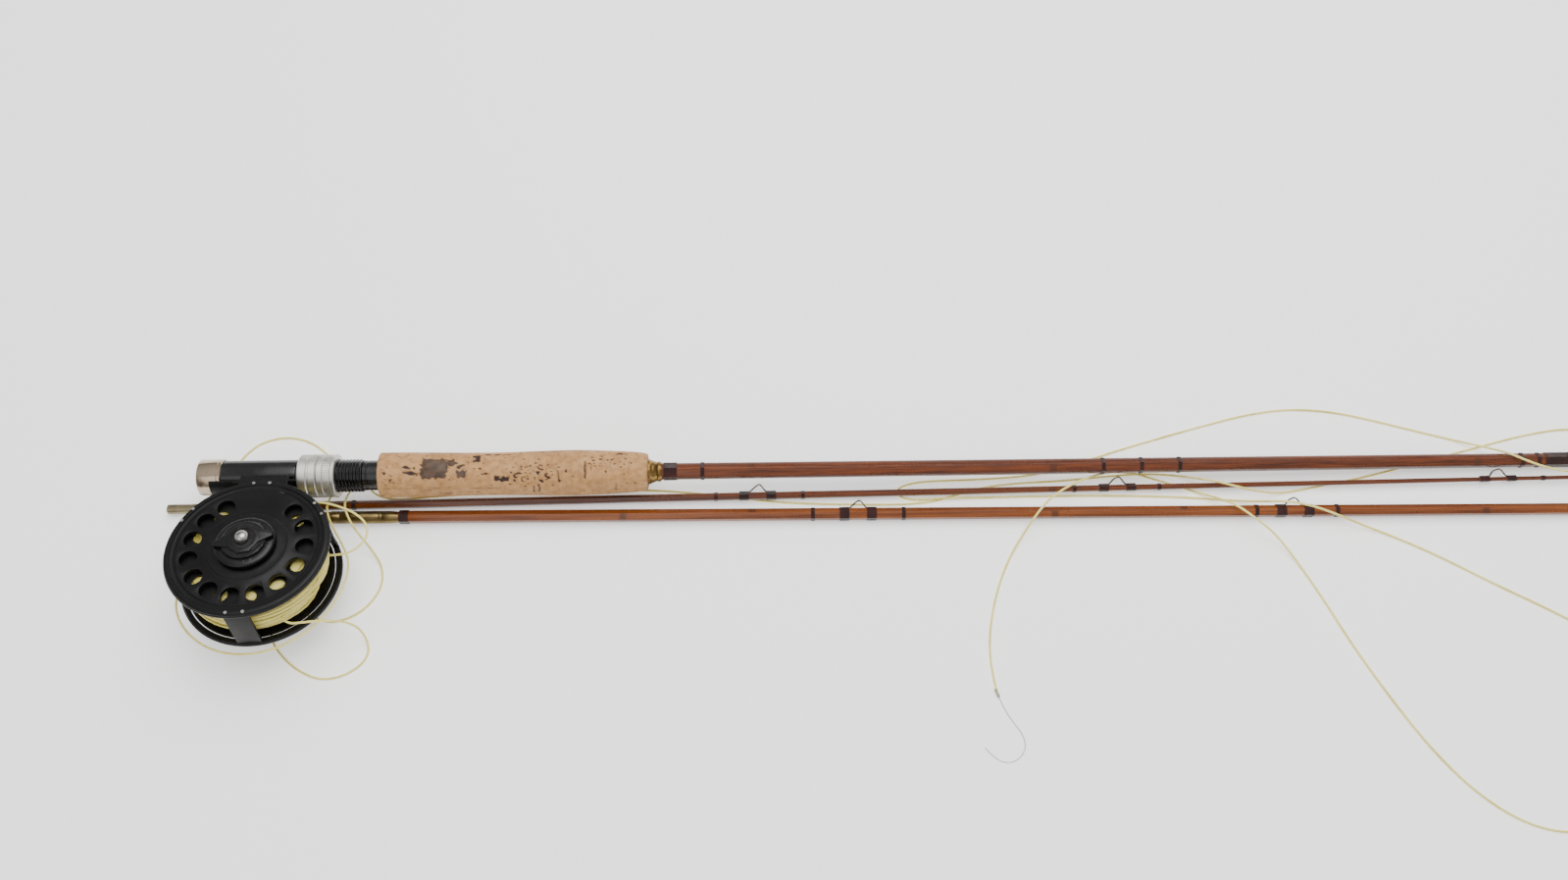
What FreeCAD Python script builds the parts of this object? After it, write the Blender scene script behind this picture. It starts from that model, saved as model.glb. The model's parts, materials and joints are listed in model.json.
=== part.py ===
import FreeCAD, Part
import math
import os
import re
import Sketcher

# A three-piece split cane fly rod, taken apart and laid flat, with its fly reel on the seat.
# Millimetres, +Z up, floor at z 0, the rod along +X from the butt cap to the tip.

Vector = FreeCAD.Vector
Placement = FreeCAD.Placement
Rotation = FreeCAD.Rotation

doc = FreeCAD.newDocument("fly_rod")
sheet = doc.addObject("Spreadsheet::Sheet", "sizes")

dimensions = {
    # how the sections lie
    "seat_lift": 5.5,
    "seat_pitch": 1.15,
    "section_length": 885.0,
    "tip_start": -25.6,
    "tip_side": -12.4,
    "tip_yaw": 0.11,
    "tip_height": 4.2,
    "mid_start": 42.0,
    "mid_side": -19.4,
    "mid_yaw": -0.87,
    "mid_height": 4.3,
    # butt cane, measured across its flats
    "butt_cane_start": 16.0,
    "butt_cane_thick": 9.5,
    "butt_cane_thin": 7.5,
    "ferrule_depth": 30.0,
    "ferrule_fit": 0.03,
    "glue_gap": 0.06,
    # reel seat
    "barrel_radius": 9.75,
    "barrel_start": 3.0,
    "arbor_radius": 7.4,
    "thread_start": 57.0,
    "thread_end": 95.0,
    "thread_pitch": 2.0,
    "thread_depth": 0.7,
    "cap_radius": 10.6,
    "cap_length": 14.0,
    "pocket_wall": 1.1,
    "pocket_floor": 5.5,
    "hood_start": 58.5,
    "hood_length": 11.0,
    "hood_radius": 12.75,
    "hood_mouth": 7.6,
    "hood_clearance": 0.12,
    "nut_gap": 0.3,
    "nut_length": 10.2,
    "collar_radius": 8.9,
    "collar_length": 10.0,
    # cork grip and winding check
    "grip_length": 157.0,
    "grip_radius": 13.4,
    "grip_waist": 12.6,
    "grip_swell": 13.5,
    "grip_nose": 10.6,
    "cork_rings": 12,
    "check_length": 8.0,
    "check_radius": 7.5,
    # foot of the reel
    "foot_width": 14.0,
    "foot_length": 58.0,
    "foot_pad": 30.0,
    "foot_toe": 1.2,
    "foot_thickness": 2.2,
    "foot_middle": 36.6,
    "foot_clearance": 0.05,
    "pocket_slack": 0.25,
    # reel
    "reel_middle": 43.0,
    "reel_reach": 60.0,
    "reel_tilt": 14.0,
    "frame_radius": 45.0,
    "frame_half": 17.0,
    "plate_thickness": 3.5,
    "plate_step": 1.0,
    "rim_width": 3.6,
    "plate_hole": 5.0,
    "plate_hole_inset": 13.5,
    "plate_hole_step": 23.75,
    "tab_width": 27.0,
    "pillar_width": 13.5,
    "pillar_thickness": 2.0,
    "spindle_radius": 2.5,
    "spindle_root": 3.0,
    "running_fit": 0.06,
    "bush_radius": 4.5,
    "spool_arbor": 10.0,
    "spool_inset": 4.0,
    "flange_thickness": 1.2,
    "rear_gap": 1.7,
    "spool_hole": 4.3,
    "spool_hole_inset": 10.5,
    "line_inset": 4.5,
    # crank handle
    "handle_inset": 9.2,
    "handle_angle": 191.0,
    "handle_pin": 2.0,
    "handle_collar": 2.2,
    "handle_length": 20.3,
    "handle_root": 5.0,
    "handle_tip": 6.6,
    # drag and click
    "drag_radius": 16.5,
    "drag_step_radius": 12.4,
    "drag_height": 7.4,
    "drag_gap": 0.35,
    "drag_screw": 4.0,
    "gear_teeth": 24,
    "gear_radius": 8.4,
    "gear_tooth": 1.1,
    "pawl_reach": 13.4,
    "pawl_angle": 67.5,
    "latch_travel": 2.6,
    # middle and tip sections, measured across the flats
    "mid_cane_thick": 6.9,
    "mid_cane_thin": 6.15,
    "mid_slide": 3.4,
    "mid_sleeve": 3.75,
    "mid_sleeve_end": 71.0,
    "tip_cane_thick": 5.2,
    "tip_cane_thin": 2.1,
    "tip_slide": 2.95,
    "tip_slide_length": 24.0,
    "tip_sleeve": 3.4,
    "tip_sleeve_end": 66.0,
    "ferrule_wall": 0.75,
    "sleeve_wall": 0.55,
    "welt_extra": 0.5,
    # guides and whippings
    "guide_wire": 0.45,
    "guide_rise": 4.6,
    "guide_half": 9.0,
    "wrap_thickness": 0.22,
    "narrow_wrap": 2.2,
    # fly line
    "line_thickness": 1.3,
    "leader_thickness": 0.5,
}

for row, (alias, number) in enumerate(dimensions.items(), start=1):
    sheet.set(f"A{row}", alias)
    sheet.set(f"B{row}", str(number))
    sheet.setAlias(f"B{row}", alias)
doc.recompute()


class Sizes:
    """The sheet's values as attributes."""

    def __getattr__(self, alias):
        return float(sheet.get(alias))


size = Sizes()


def formula(text):
    """Spell a formula of aliases the way an expression names them."""
    return re.sub(r"[a-z]+(_[a-z]+)+", lambda word: "sizes." + word.group(0), str(text))


def number_of(text):
    """Work out a formula of aliases now, for a sketch's first guess."""
    return float(sheet.evalExpression(formula(text)))


def bind(item, **formulas):
    for prop, text in formulas.items():
        item.setExpression(prop, formula(text))
    return item


def move(item, x=None, y=None, z=None):
    """Bind an inner piece's place to formulas."""
    for axis, text in (("x", x), ("y", y), ("z", z)):
        if text is not None:
            item.setExpression(f"Placement.Base.{axis}", formula(text))
    return item


def cylinder(name, radius, height, x=None, y=None, z=None, angle=None):
    item = bind(doc.addObject("Part::Cylinder", name), Radius=radius, Height=height)
    if angle is not None:
        item.Angle = angle
    return move(item, x, y, z)


def box(name, length, width, height, x=None, y=None, z=None):
    item = bind(doc.addObject("Part::Box", name), Length=length, Width=width, Height=height)
    return move(item, x, y, z)


def cut(name, base, tool):
    item = doc.addObject("Part::Cut", name)
    item.Base = base
    item.Tool = tool
    return item


def common(name, base, tool):
    item = doc.addObject("Part::Common", name)
    item.Base = base
    item.Tool = tool
    return item


def fuse(name, shapes):
    item = doc.addObject("Part::MultiFuse", name)
    item.Shapes = shapes
    return item


def group(name, links):
    item = doc.addObject("Part::Compound", name)
    item.Links = links
    return item


def turned(name, outline):
    """Turn a closed outline of (radius, height) formulas about the body's Z axis."""
    body = doc.addObject("PartDesign::Body", name)
    sketch = body.newObject("Sketcher::SketchObject", f"{name}_outline")
    plane = [item for item in body.Origin.OriginFeatures if item.Role == "XZ_Plane"][0]
    sketch.AttachmentSupport = [(plane, "")]
    sketch.MapMode = "FlatFace"
    corners = [Vector(number_of(radius), number_of(height), 0) for radius, height in outline]
    count = len(corners)
    for index in range(count):
        edge = Part.LineSegment(corners[index], corners[(index + 1) % count])
        sketch.addGeometry(edge, False)
    for index in range(count):
        follow = (index + 1) % count
        sketch.addConstraint(Sketcher.Constraint("Coincident", index, 2, follow, 1))
    for index, (radius, height) in enumerate(outline):
        for kind, text, value in (
            ("DistanceX", radius, corners[index].x),
            ("DistanceY", height, corners[index].y),
        ):
            held = sketch.addConstraint(Sketcher.Constraint(kind, -1, 1, index, 1, value))
            sketch.setExpression(f"Constraints[{held}]", formula(text))
    turn = body.newObject("PartDesign::Revolution", f"{name}_turn")
    turn.Profile = sketch
    turn.ReferenceAxis = (sketch, ["V_Axis"])
    turn.Angle = 360
    return body


def tube_outline(inner, outer, low, high):
    return [(inner, low), (outer, low), (outer, high), (inner, high)]


def tube(name, inner, outer, low, high):
    return turned(name, tube_outline(inner, outer, low, high))


# ---------------------------------------------------------------- places

half_span = (size.mid_start + size.section_length + size.tip_start) / 2
reel_drop = math.radians(size.reel_tilt)
far_side = (
    size.reel_reach * math.cos(reel_drop)
    + size.frame_radius * math.cos(reel_drop)
    + size.frame_half * math.sin(reel_drop)
)
near_side = size.grip_swell
origin_x = -half_span
origin_y = (far_side - near_side) / 2

along_x = Rotation(Vector(0, 1, 0), 90)
butt_frame = Placement(
    Vector(origin_x, origin_y, size.frame_half + size.seat_lift), Rotation(Vector(0, 1, 0), size.seat_pitch)
)
tilt = Placement(Vector(), Rotation(Vector(1, 0, 0), -size.reel_tilt))
rod_place = butt_frame.multiply(Placement(Vector(), along_x))
seat_place = butt_frame.multiply(tilt).multiply(Placement(Vector(), along_x))
reel_place = (
    butt_frame.multiply(Placement(Vector(size.reel_middle, 0, 0), Rotation()))
    .multiply(tilt)
    .multiply(Placement(Vector(0, -size.reel_reach, 0), Rotation()))
)


def lying(start, side, height, yaw):
    """The place of a loose section, its own Z along the section."""
    turn = Rotation(Vector(0, 0, 1), yaw).multiply(along_x)
    return Placement(Vector(origin_x + start, origin_y + side, height), turn)


mid_place = lying(size.mid_start, size.mid_side, size.mid_height, size.mid_yaw)
tip_place = lying(size.tip_start, size.tip_side, size.tip_height, size.tip_yaw)

nodes = {}


def node(name, item, place):
    """Make an object a sub-part: its label names its file."""
    if any("Placement" in prop for prop, _ in item.ExpressionEngine):
        item = group(f"{name}_placed", [item])
    item.Label = name
    item.Placement = place.multiply(item.Placement)
    nodes[name] = item


# ---------------------------------------------------------------- cane


def hexagon(name, flats, z):
    ring = doc.addObject("Part::RegularPolygon", name)
    ring.Polygon = 6
    bind(ring, Circumradius=f"({flats}) / 2 / cos(30)")
    return move(ring, z=z)


def taper(name, flats_a, flats_b, low, high):
    """A solid six-sided taper between two heights."""
    loft = doc.addObject("Part::Loft", name)
    loft.Sections = [hexagon(f"{name}_low", flats_a, low), hexagon(f"{name}_high", flats_b, high)]
    loft.Solid = True
    loft.Ruled = True
    return loft


def cane(name, thick, thin, low, high, tenons, place):
    """Six glued strips, each a sixth of the taper and of its round ends inside the ferrules."""
    blank = [taper(f"{name}_taper", thick, thin, low, high)]
    for index, (start, end, radius) in enumerate(tenons):
        blank.append(cylinder(f"{name}_tenon_{index}", radius, f"{end} - ({start})", z=start))
    core = fuse(f"{name}_core", blank)
    bottom = min(tenons, key=lambda tenon: number_of(tenon[0]))[0]
    if number_of(low) < number_of(bottom):
        bottom = low
    strips = []
    for index in range(6):
        sector = cylinder(f"{name}_sector_{index}", f"2 * ({thick})", "section_length", z=bottom)
        sector.Angle = 60
        sector.Placement.Rotation = Rotation(Vector(0, 0, 1), 60 * index)
        strips.append(common(f"{name}_strip_{index}", core, sector))
    node(name, group(f"{name}_strips", strips), place)
    return core


sleeve_top = "section_length - 2 * ferrule_depth"
tenon_end = "section_length - ferrule_depth - 2"
tip_cane_end = "section_length - 6"
butt_core = cane(
    "butt_cane",
    "butt_cane_thick",
    "butt_cane_thin",
    "butt_cane_start",
    sleeve_top,
    [(sleeve_top, tenon_end, "mid_slide + ferrule_fit - glue_gap")],
    rod_place,
)
mid_core = cane(
    "mid_cane",
    "mid_cane_thick",
    "mid_cane_thin",
    "mid_sleeve_end",
    sleeve_top,
    [
        ("ferrule_depth + 3", "mid_sleeve_end", "mid_sleeve - sleeve_wall - glue_gap"),
        (sleeve_top, tenon_end, "tip_slide + ferrule_fit - glue_gap"),
    ],
    mid_place,
)
tip_core = cane(
    "tip_cane",
    "tip_cane_thick",
    "tip_cane_thin",
    "tip_sleeve_end",
    tip_cane_end,
    [("tip_slide_length + 3", "tip_sleeve_end", "tip_sleeve - sleeve_wall - glue_gap")],
    tip_place,
)


def flats_at(thick, thin, low, high, z):
    """The formula of a cane's width across flats at a height."""
    return f"({thick} + ({thin} - {thick}) * (({z}) - ({low})) / (({high}) - ({low})))"


def butt_flats(z):
    return flats_at("butt_cane_thick", "butt_cane_thin", "butt_cane_start", sleeve_top, z)


def tip_flats(z):
    return flats_at("tip_cane_thick", "tip_cane_thin", "tip_sleeve_end", tip_cane_end, z)


# ---------------------------------------------------------------- reel seat

cap_shell = turned(
    "cap_shell",
    [
        ("0", "0"),
        ("cap_radius - 1.2", "0"),
        ("cap_radius", "1.2"),
        ("cap_radius", "cap_length"),
        ("barrel_radius", "cap_length"),
        ("barrel_radius", "barrel_start"),
        ("0", "barrel_start"),
    ],
)
pocket_radius = "barrel_radius + foot_toe + pocket_slack"
pocket_ring = tube(
    "pocket_ring", "barrel_radius", f"{pocket_radius} + pocket_wall", "pocket_floor - 2", "cap_length"
)
pocket_block = box(
    "pocket_block",
    "foot_width + 3",
    "2 * barrel_radius",
    "cap_length",
    x="-(foot_width + 3) / 2",
    y="-2 * barrel_radius",
)
# the seat's own -Y side faces the reel, and its X spans the foot's width
bulge = common("cap_bulge", pocket_ring, pocket_block)
cavity_ring = tube("cavity_ring", "barrel_radius", pocket_radius, "pocket_floor", "cap_length + 1")
cavity_block = box(
    "cavity_block",
    "foot_width + 0.8",
    "2 * barrel_radius",
    "cap_length + 2",
    x="-(foot_width + 0.8) / 2",
    y="-2 * barrel_radius",
)
cavity = common("cap_cavity", cavity_ring, cavity_block)
node("seat_end_cap", cut("cap_cut", fuse("cap_whole", [cap_shell, bulge]), cavity), seat_place)


def threaded_barrel():
    """A black tube, plain under the foot and ridged under the nut."""
    outline = [("arbor_radius", "barrel_start"), ("barrel_radius", "barrel_start")]
    outline.append(("barrel_radius", "thread_start"))
    ridges = int((size.thread_end - size.thread_start) / size.thread_pitch)
    for ridge in range(ridges):
        foot = f"thread_start + {ridge} * thread_pitch"
        outline.append(("barrel_radius - thread_depth", f"{foot} + 0.2 * thread_pitch"))
        outline.append(("barrel_radius - thread_depth", f"{foot} + 0.4 * thread_pitch"))
        outline.append(("barrel_radius", f"{foot} + 0.6 * thread_pitch"))
        outline.append(("barrel_radius", f"{foot} + 0.99 * thread_pitch"))
    outline.append(("barrel_radius", "thread_end"))
    outline.append(("arbor_radius", "thread_end"))
    return turned("threaded_barrel", outline)


node("seat_barrel", threaded_barrel(), seat_place)

cane_bore = "butt_cane_thick / 2 / cos(30) + glue_gap"
seat_end = "thread_end + collar_length"
node(
    "seat_arbor",
    tube("arbor_tube", cane_bore, "arbor_radius", "barrel_start + 1", seat_end),
    seat_place,
)
node(
    "seat_collar",
    turned(
        "collar_ring",
        [
            ("arbor_radius", "thread_end"),
            ("collar_radius - 0.6", "thread_end"),
            ("collar_radius", "thread_end + 1.2"),
            ("collar_radius", seat_end),
            ("arbor_radius", seat_end),
        ],
    ),
    seat_place,
)

slide_radius = "barrel_radius + hood_clearance"
hood_end = "hood_start + hood_length"
node(
    "sliding_hood",
    turned(
        "hood_ring",
        [
            (pocket_radius, "hood_start"),
            ("hood_radius - 0.7", "hood_start"),
            ("hood_radius", "hood_start + 0.8"),
            ("hood_radius", "hood_start + 5"),
            ("hood_radius - 0.5", "hood_start + 5.5"),
            ("hood_radius - 0.5", "hood_start + 6.3"),
            ("hood_radius", "hood_start + 6.8"),
            ("hood_radius", f"{hood_end} - 0.6"),
            ("hood_radius - 0.6", hood_end),
            (slide_radius, hood_end),
            (slide_radius, "hood_start + hood_mouth"),
            (pocket_radius, "hood_start + hood_mouth"),
        ],
    ),
    seat_place,
)

nut_start = f"{hood_end} + nut_gap"
nut_end = f"{hood_end} + nut_gap + nut_length"
nut_ring = turned(
    "nut_ring",
    [
        (slide_radius, nut_start),
        ("hood_radius - 0.6", nut_start),
        ("hood_radius", f"{nut_start} + 0.7"),
        ("hood_radius", f"{nut_end} - 3"),
        ("hood_radius - 0.8", f"{nut_end} - 2.4"),
        ("hood_radius - 0.8", nut_end),
        (slide_radius, nut_end),
    ],
)
flutes = []
for flute in range(36):
    angle = 10 * flute
    flutes.append(
        cylinder(
            f"nut_flute_{flute}",
            "0.45",
            "nut_length - 5",
            x=f"(hood_radius + 0.12) * cos({angle})",
            y=f"(hood_radius + 0.12) * sin({angle})",
            z=f"{nut_start} + 1.2",
        )
    )
node("lock_nut", cut("nut_cut", nut_ring, group("nut_flutes", flutes)), seat_place)

# ---------------------------------------------------------------- cork grip

grip_start = seat_end
grip_end = "thread_end + collar_length + grip_length"


def grip_rings():
    """A lofted grip, sliced into its glued cork rings."""
    stations = [
        ("0", "grip_radius - 0.5"),
        ("0.03 * grip_length", "grip_radius"),
        ("0.24 * grip_length", "grip_waist"),
        ("0.66 * grip_length", "grip_swell"),
        ("0.9 * grip_length", "grip_swell - 0.7"),
        ("0.98 * grip_length", "0.4 * grip_swell + 0.6 * grip_nose"),
        ("grip_length", "grip_nose"),
    ]
    circles = []
    for index, (height, radius) in enumerate(stations):
        circle = bind(doc.addObject("Part::Circle", f"grip_circle_{index}"), Radius=radius)
        circles.append(move(circle, z=f"{grip_start} + {height}"))
    loft = doc.addObject("Part::Loft", "grip_loft")
    loft.Sections = circles
    loft.Solid = True
    loft.Ruled = False
    bored = cut("grip_bored", loft, cylinder("grip_bore", cane_bore, "grip_length + 2", z=f"{grip_start} - 1"))
    rings = []
    for index in range(int(size.cork_rings)):
        slab = cylinder(
            f"grip_slab_{index}",
            "2 * grip_swell",
            "grip_length / cork_rings",
            z=f"{grip_start} + {index} * grip_length / cork_rings",
        )
        rings.append(common(f"grip_ring_{index}", bored, slab))
    return group("grip_rings", rings)


node("cork_grip", grip_rings(), rod_place)
check_bore = f"{butt_flats(grip_end)} / 2 / cos(30) + glue_gap"
node(
    "winding_check",
    turned(
        "check_ring",
        [
            (check_bore, grip_end),
            ("check_radius", grip_end),
            ("check_radius", f"{grip_end} + 2.2"),
            ("check_radius - 0.7", f"{grip_end} + 3"),
            (f"{check_bore} + 0.5", f"{grip_end} + check_length - 1.5"),
            (f"{check_bore} + 0.9", f"{grip_end} + check_length - 0.8"),
            (f"{check_bore} + 0.5", f"{grip_end} + check_length"),
            (check_bore, f"{grip_end} + check_length"),
        ],
    ),
    rod_place,
)

# ---------------------------------------------------------------- ferrules


def female_ferrule(name, bore, place):
    """A drawn tube over the cane's end, with a stop and a welt round its mouth."""
    stop = "section_length - ferrule_depth"
    tube_radius = f"{bore} + ferrule_wall"
    node(
        name,
        turned(
            f"{name}_tube",
            [
                (bore, sleeve_top),
                (f"{bore} + 0.2", sleeve_top),
                (tube_radius, f"{sleeve_top} + 5"),
                (tube_radius, "section_length - 4"),
                (f"{tube_radius} + welt_extra", "section_length - 3.6"),
                (f"{tube_radius} + welt_extra", "section_length - 0.4"),
                (tube_radius, "section_length"),
                (bore, "section_length"),
                (bore, stop),
                ("0", stop),
                ("0", f"{stop} - 1.5"),
                (bore, f"{stop} - 1.5"),
            ],
        ),
        place,
    )


def male_ferrule(name, slide, slide_length, sleeve, sleeve_end, place):
    """A solid slide below a sleeve over the cane's end."""
    bore = f"{sleeve} - sleeve_wall"
    node(
        name,
        turned(
            f"{name}_tube",
            [
                ("0", "0"),
                (f"{slide} - 0.4", "0"),
                (slide, "0.4"),
                (slide, slide_length),
                (sleeve, f"{slide_length} + 1.2"),
                (sleeve, f"{sleeve_end} - 5"),
                (f"{bore} + 0.15", sleeve_end),
                (bore, sleeve_end),
                (bore, f"{slide_length} + 2.6"),
                ("0", f"{slide_length} + 2.6"),
            ],
        ),
        place,
    )


female_ferrule("butt_ferrule", "mid_slide + ferrule_fit", rod_place)
female_ferrule("mid_ferrule_female", "tip_slide + ferrule_fit", mid_place)
male_ferrule(
    "mid_ferrule_male", "mid_slide", "ferrule_depth", "mid_sleeve", "mid_sleeve_end", mid_place
)
male_ferrule(
    "tip_ferrule_male", "tip_slide", "tip_slide_length", "tip_sleeve", "tip_sleeve_end", tip_place
)

# ---------------------------------------------------------------- wire, line and guides


def bend_radius(before, corner, after):
    """The radius of the arc at a corner of a route, as large as its two runs allow."""
    first = before - corner
    second = after - corner
    turn = math.pi - first.getAngle(second)
    return 0.45 * min(first.Length, second.Length) / math.tan(turn / 2)


def rounded_path(points):
    """Straight runs joined by tangent arcs."""
    edges = []
    start = points[0]
    for before, corner, after in zip(points, points[1:], points[2:]):
        back = (before - corner).normalize()
        ahead = (after - corner).normalize()
        trim = 0.45 * min((before - corner).Length, (after - corner).Length)
        enter = corner + back * trim
        leave = corner + ahead * trim
        half = (back + ahead).normalize()
        lean = back.getAngle(half)
        radius = trim * math.tan(lean)
        centre = corner + half * (trim / math.cos(lean))
        middle = centre - half * radius
        edges.append(Part.LineSegment(start, enter).toShape())
        edges.append(Part.Arc(enter, middle, leave).toShape())
        start = leave
    edges.append(Part.LineSegment(start, points[-1]).toShape())
    return Part.Wire(edges)


def swept_tube(points, radius):
    """A round tube along a rounded path."""
    path = rounded_path(points)
    ahead = (points[1] - points[0]).normalize()
    ring = Part.Wire(Part.makeCircle(radius, points[0], ahead))
    pipe = path.makePipeShell([ring], True, False)
    return pipe, path.Length


def guide_points(flats, z):
    """A snake guide: two feet on the cane's +Y flat and a twisted loop between them."""
    foot = flats / 2 + size.guide_wire
    rise = size.guide_rise
    half = size.guide_half
    return [
        Vector(0, foot, z - half),
        Vector(0.1, foot, z - 0.55 * half),
        Vector(1.2, foot + 0.45 * rise, z - 0.36 * half),
        Vector(2.0, foot + 0.95 * rise, z - 0.14 * half),
        Vector(-2.0, foot + 0.95 * rise, z + 0.14 * half),
        Vector(-1.2, foot + 0.45 * rise, z + 0.36 * half),
        Vector(-0.1, foot, z + 0.55 * half),
        Vector(0, foot, z + half),
    ]


def value_at(thick, thin, low, high, z):
    return thick + (thin - thick) * (z - low) / (high - low)


cane_top = size.section_length - 2 * size.ferrule_depth


def butt_width(z):
    low = size.butt_cane_start
    return value_at(size.butt_cane_thick, size.butt_cane_thin, low, cane_top, z)


def mid_width(z):
    low = size.mid_sleeve_end
    return value_at(size.mid_cane_thick, size.mid_cane_thin, low, cane_top, z)


def tip_width(z):
    low = size.tip_sleeve_end
    return value_at(size.tip_cane_thick, size.tip_cane_thin, low, size.section_length - 6, z)


def guides(name, width_at, heights, place):
    wires = []
    for z in heights:
        wires.append(swept_tube(guide_points(width_at(z), z), size.guide_wire)[0])
    item = doc.addObject("Part::Feature", f"{name}_wires")
    item.Shape = Part.makeCompound(wires)
    node(name, item, place)
    return wires


def hexagon_solid(flats, low, high):
    """A plain six-sided prism for the thread wraps."""
    corner = flats / 2 / math.cos(math.radians(30))
    ring = []
    for index in range(7):
        angle = math.radians(60 * index)
        ring.append(Vector(corner * math.cos(angle), corner * math.sin(angle), low))
    return Part.Face(Part.makePolygon(ring)).extrude(Vector(0, 0, high - low))


def wraps(name, width_at, bands, wires, core, place):
    """Bands of thread round the cane, over the guides' feet."""
    taken = [core.Shape] + wires
    solids = []
    for low, high in bands:
        width = width_at((low + high) / 2)
        band = hexagon_solid(width + 2 * size.wrap_thickness, low, high)
        for wire in wires:
            if wire.BoundBox.ZMin < high and wire.BoundBox.ZMax > low:
                foot = Vector(0, width / 2 + size.guide_wire, low)
                over = size.guide_wire + size.wrap_thickness
                band = band.fuse(Part.makeCylinder(over, high - low, foot))
        solids.append(band.cut(taken))
    item = doc.addObject("Part::Feature", f"{name}_bands")
    item.Shape = Part.makeCompound([solid for band in solids for solid in band.Solids])
    node(name, item, place)


def guide_bands(heights):
    """The two wraps of each guide, over its feet."""
    half = size.guide_half
    bands = []
    for z in heights:
        bands.append((z - half - 2, z - 0.58 * half))
        bands.append((z + 0.58 * half, z + half + 2))
    return bands


def narrow_bands(heights):
    return [(z, z + size.narrow_wrap) for z in heights]


doc.recompute()

mid_guide_heights = [344.0, 604.0, 802.0]
tip_guide_heights = [352.0, 568.0, 798.0]
mid_wires = guides("mid_guides", mid_width, mid_guide_heights, mid_place)
tip_wires = guides("tip_guides", tip_width, tip_guide_heights, tip_place)

butt_bands = [(271.0, 279.0)]
butt_bands += narrow_bands([293.0, 532.0, 555.0, 578.0, 786.0, 796.0])
butt_bands += [(801.0, 824.0)]
wraps("butt_whippings", butt_width, butt_bands, [], butt_core, rod_place)
mid_bands = [(71.5, 77.0)] + guide_bands(mid_guide_heights)
mid_bands += narrow_bands([316.0, 370.0, 580.0, 628.0, 776.0])
mid_bands += [(816.0, 824.5)]
wraps("mid_whippings", mid_width, mid_bands, mid_wires, mid_core, mid_place)
tip_bands = [(66.5, 72.0)] + guide_bands(tip_guide_heights)
tip_bands += narrow_bands([110.0, 326.0, 378.0, 541.0, 592.0, 824.0])
tip_bands += [(853.0, 865.0)]
wraps("tip_whippings", tip_width, tip_bands, tip_wires, tip_core, tip_place)

top_bore = f"{tip_flats('section_length - 20')} / 2 / cos(30) + glue_gap"
tip_tube = turned(
    "tip_tube",
    [
        ("0", f"{tip_cane_end} + glue_gap"),
        (top_bore, f"{tip_cane_end} + glue_gap"),
        (top_bore, "section_length - 19"),
        (f"{top_bore} + 0.3", "section_length - 19"),
        (f"{top_bore} + 0.3", "section_length - 4"),
        ("0", "section_length - 4"),
    ],
)
tip_ring = bind(doc.addObject("Part::Torus", "tip_ring"), Radius1="2.6", Radius2="0.5")
tip_ring.Placement.Rotation = Rotation(Vector(0, 1, 0), 60)
move(tip_ring, z="section_length - 2.6")
node("tip_top", fuse("tip_top_whole", [tip_tube, tip_ring]), tip_place)

# ---------------------------------------------------------------- reel frame

plate_low = "frame_half - plate_thickness"
plate_top = "frame_half"
spool_edge = "(frame_radius - spool_inset)"


def polar_cylinders(name, radius, circle, angles, low, height):
    pins = []
    for index, angle in enumerate(angles):
        pins.append(
            cylinder(
                f"{name}_{index}",
                radius,
                height,
                x=f"({circle}) * cos({angle})",
                y=f"({circle}) * sin({angle})",
                z=low,
            )
        )
    return group(name, pins)


plate_disc = turned(
    "plate_disc",
    [
        ("spindle_root", plate_low),
        ("frame_radius - 1.6", plate_low),
        ("frame_radius", f"{plate_low} + 0.6"),
        ("frame_radius", f"{plate_top} - 0.6"),
        ("frame_radius - 0.6", plate_top),
        ("frame_radius - rim_width", plate_top),
        ("frame_radius - rim_width - 0.5", f"{plate_top} - plate_step"),
        ("drag_radius + 3.5", f"{plate_top} - plate_step"),
        ("drag_radius + 2.5", plate_top),
        ("spindle_root", plate_top),
    ],
)
hole_angles = [122.5 + size.plate_hole_step * index for index in range(13)]
plate_holes = polar_cylinders(
    "plate_holes",
    "plate_hole",
    "frame_radius - plate_hole_inset",
    hole_angles,
    f"{plate_low} - 1",
    "plate_thickness + 2",
)
plate_tab = box(
    "plate_tab",
    "tab_width",
    "reel_reach - barrel_radius - 1.2 - 0.8 * frame_radius",
    "plate_thickness - plate_step",
    x="-tab_width / 2",
    y="0.8 * frame_radius",
    z=plate_low,
)
plate_whole = fuse("plate_whole", [plate_disc, plate_tab])
node("reel_back_plate", cut("plate_cut", plate_whole, plate_holes), reel_place)

node(
    "reel_front_ring",
    turned(
        "front_ring",
        [
            (f"{spool_edge} + 0.5", "-frame_half"),
            ("frame_radius - 0.8", "-frame_half"),
            ("frame_radius", "-frame_half + 0.8"),
            ("frame_radius", "-frame_half + plate_thickness - 0.6"),
            ("frame_radius - 0.6", "-frame_half + plate_thickness"),
            (f"{spool_edge} + 0.5", "-frame_half + plate_thickness"),
        ],
    ),
    reel_place,
)

pillar_height = "2 * (frame_half - plate_thickness)"
pillar_angles = (35, 150, 273)
pillars = []
for angle in pillar_angles:
    pillar = box(
        f"pillar_{angle}",
        "pillar_thickness",
        "pillar_width",
        pillar_height,
        x=f"({spool_edge} + 1) * cos({angle}) + pillar_width / 2 * sin({angle})",
        y=f"({spool_edge} + 1) * sin({angle}) - pillar_width / 2 * cos({angle})",
        z="-frame_half + plate_thickness",
    )
    pillar.Placement.Rotation = Rotation(Vector(0, 0, 1), angle)
    pillars.append(pillar)
node("reel_pillars", group("pillars", pillars), reel_place)

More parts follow.
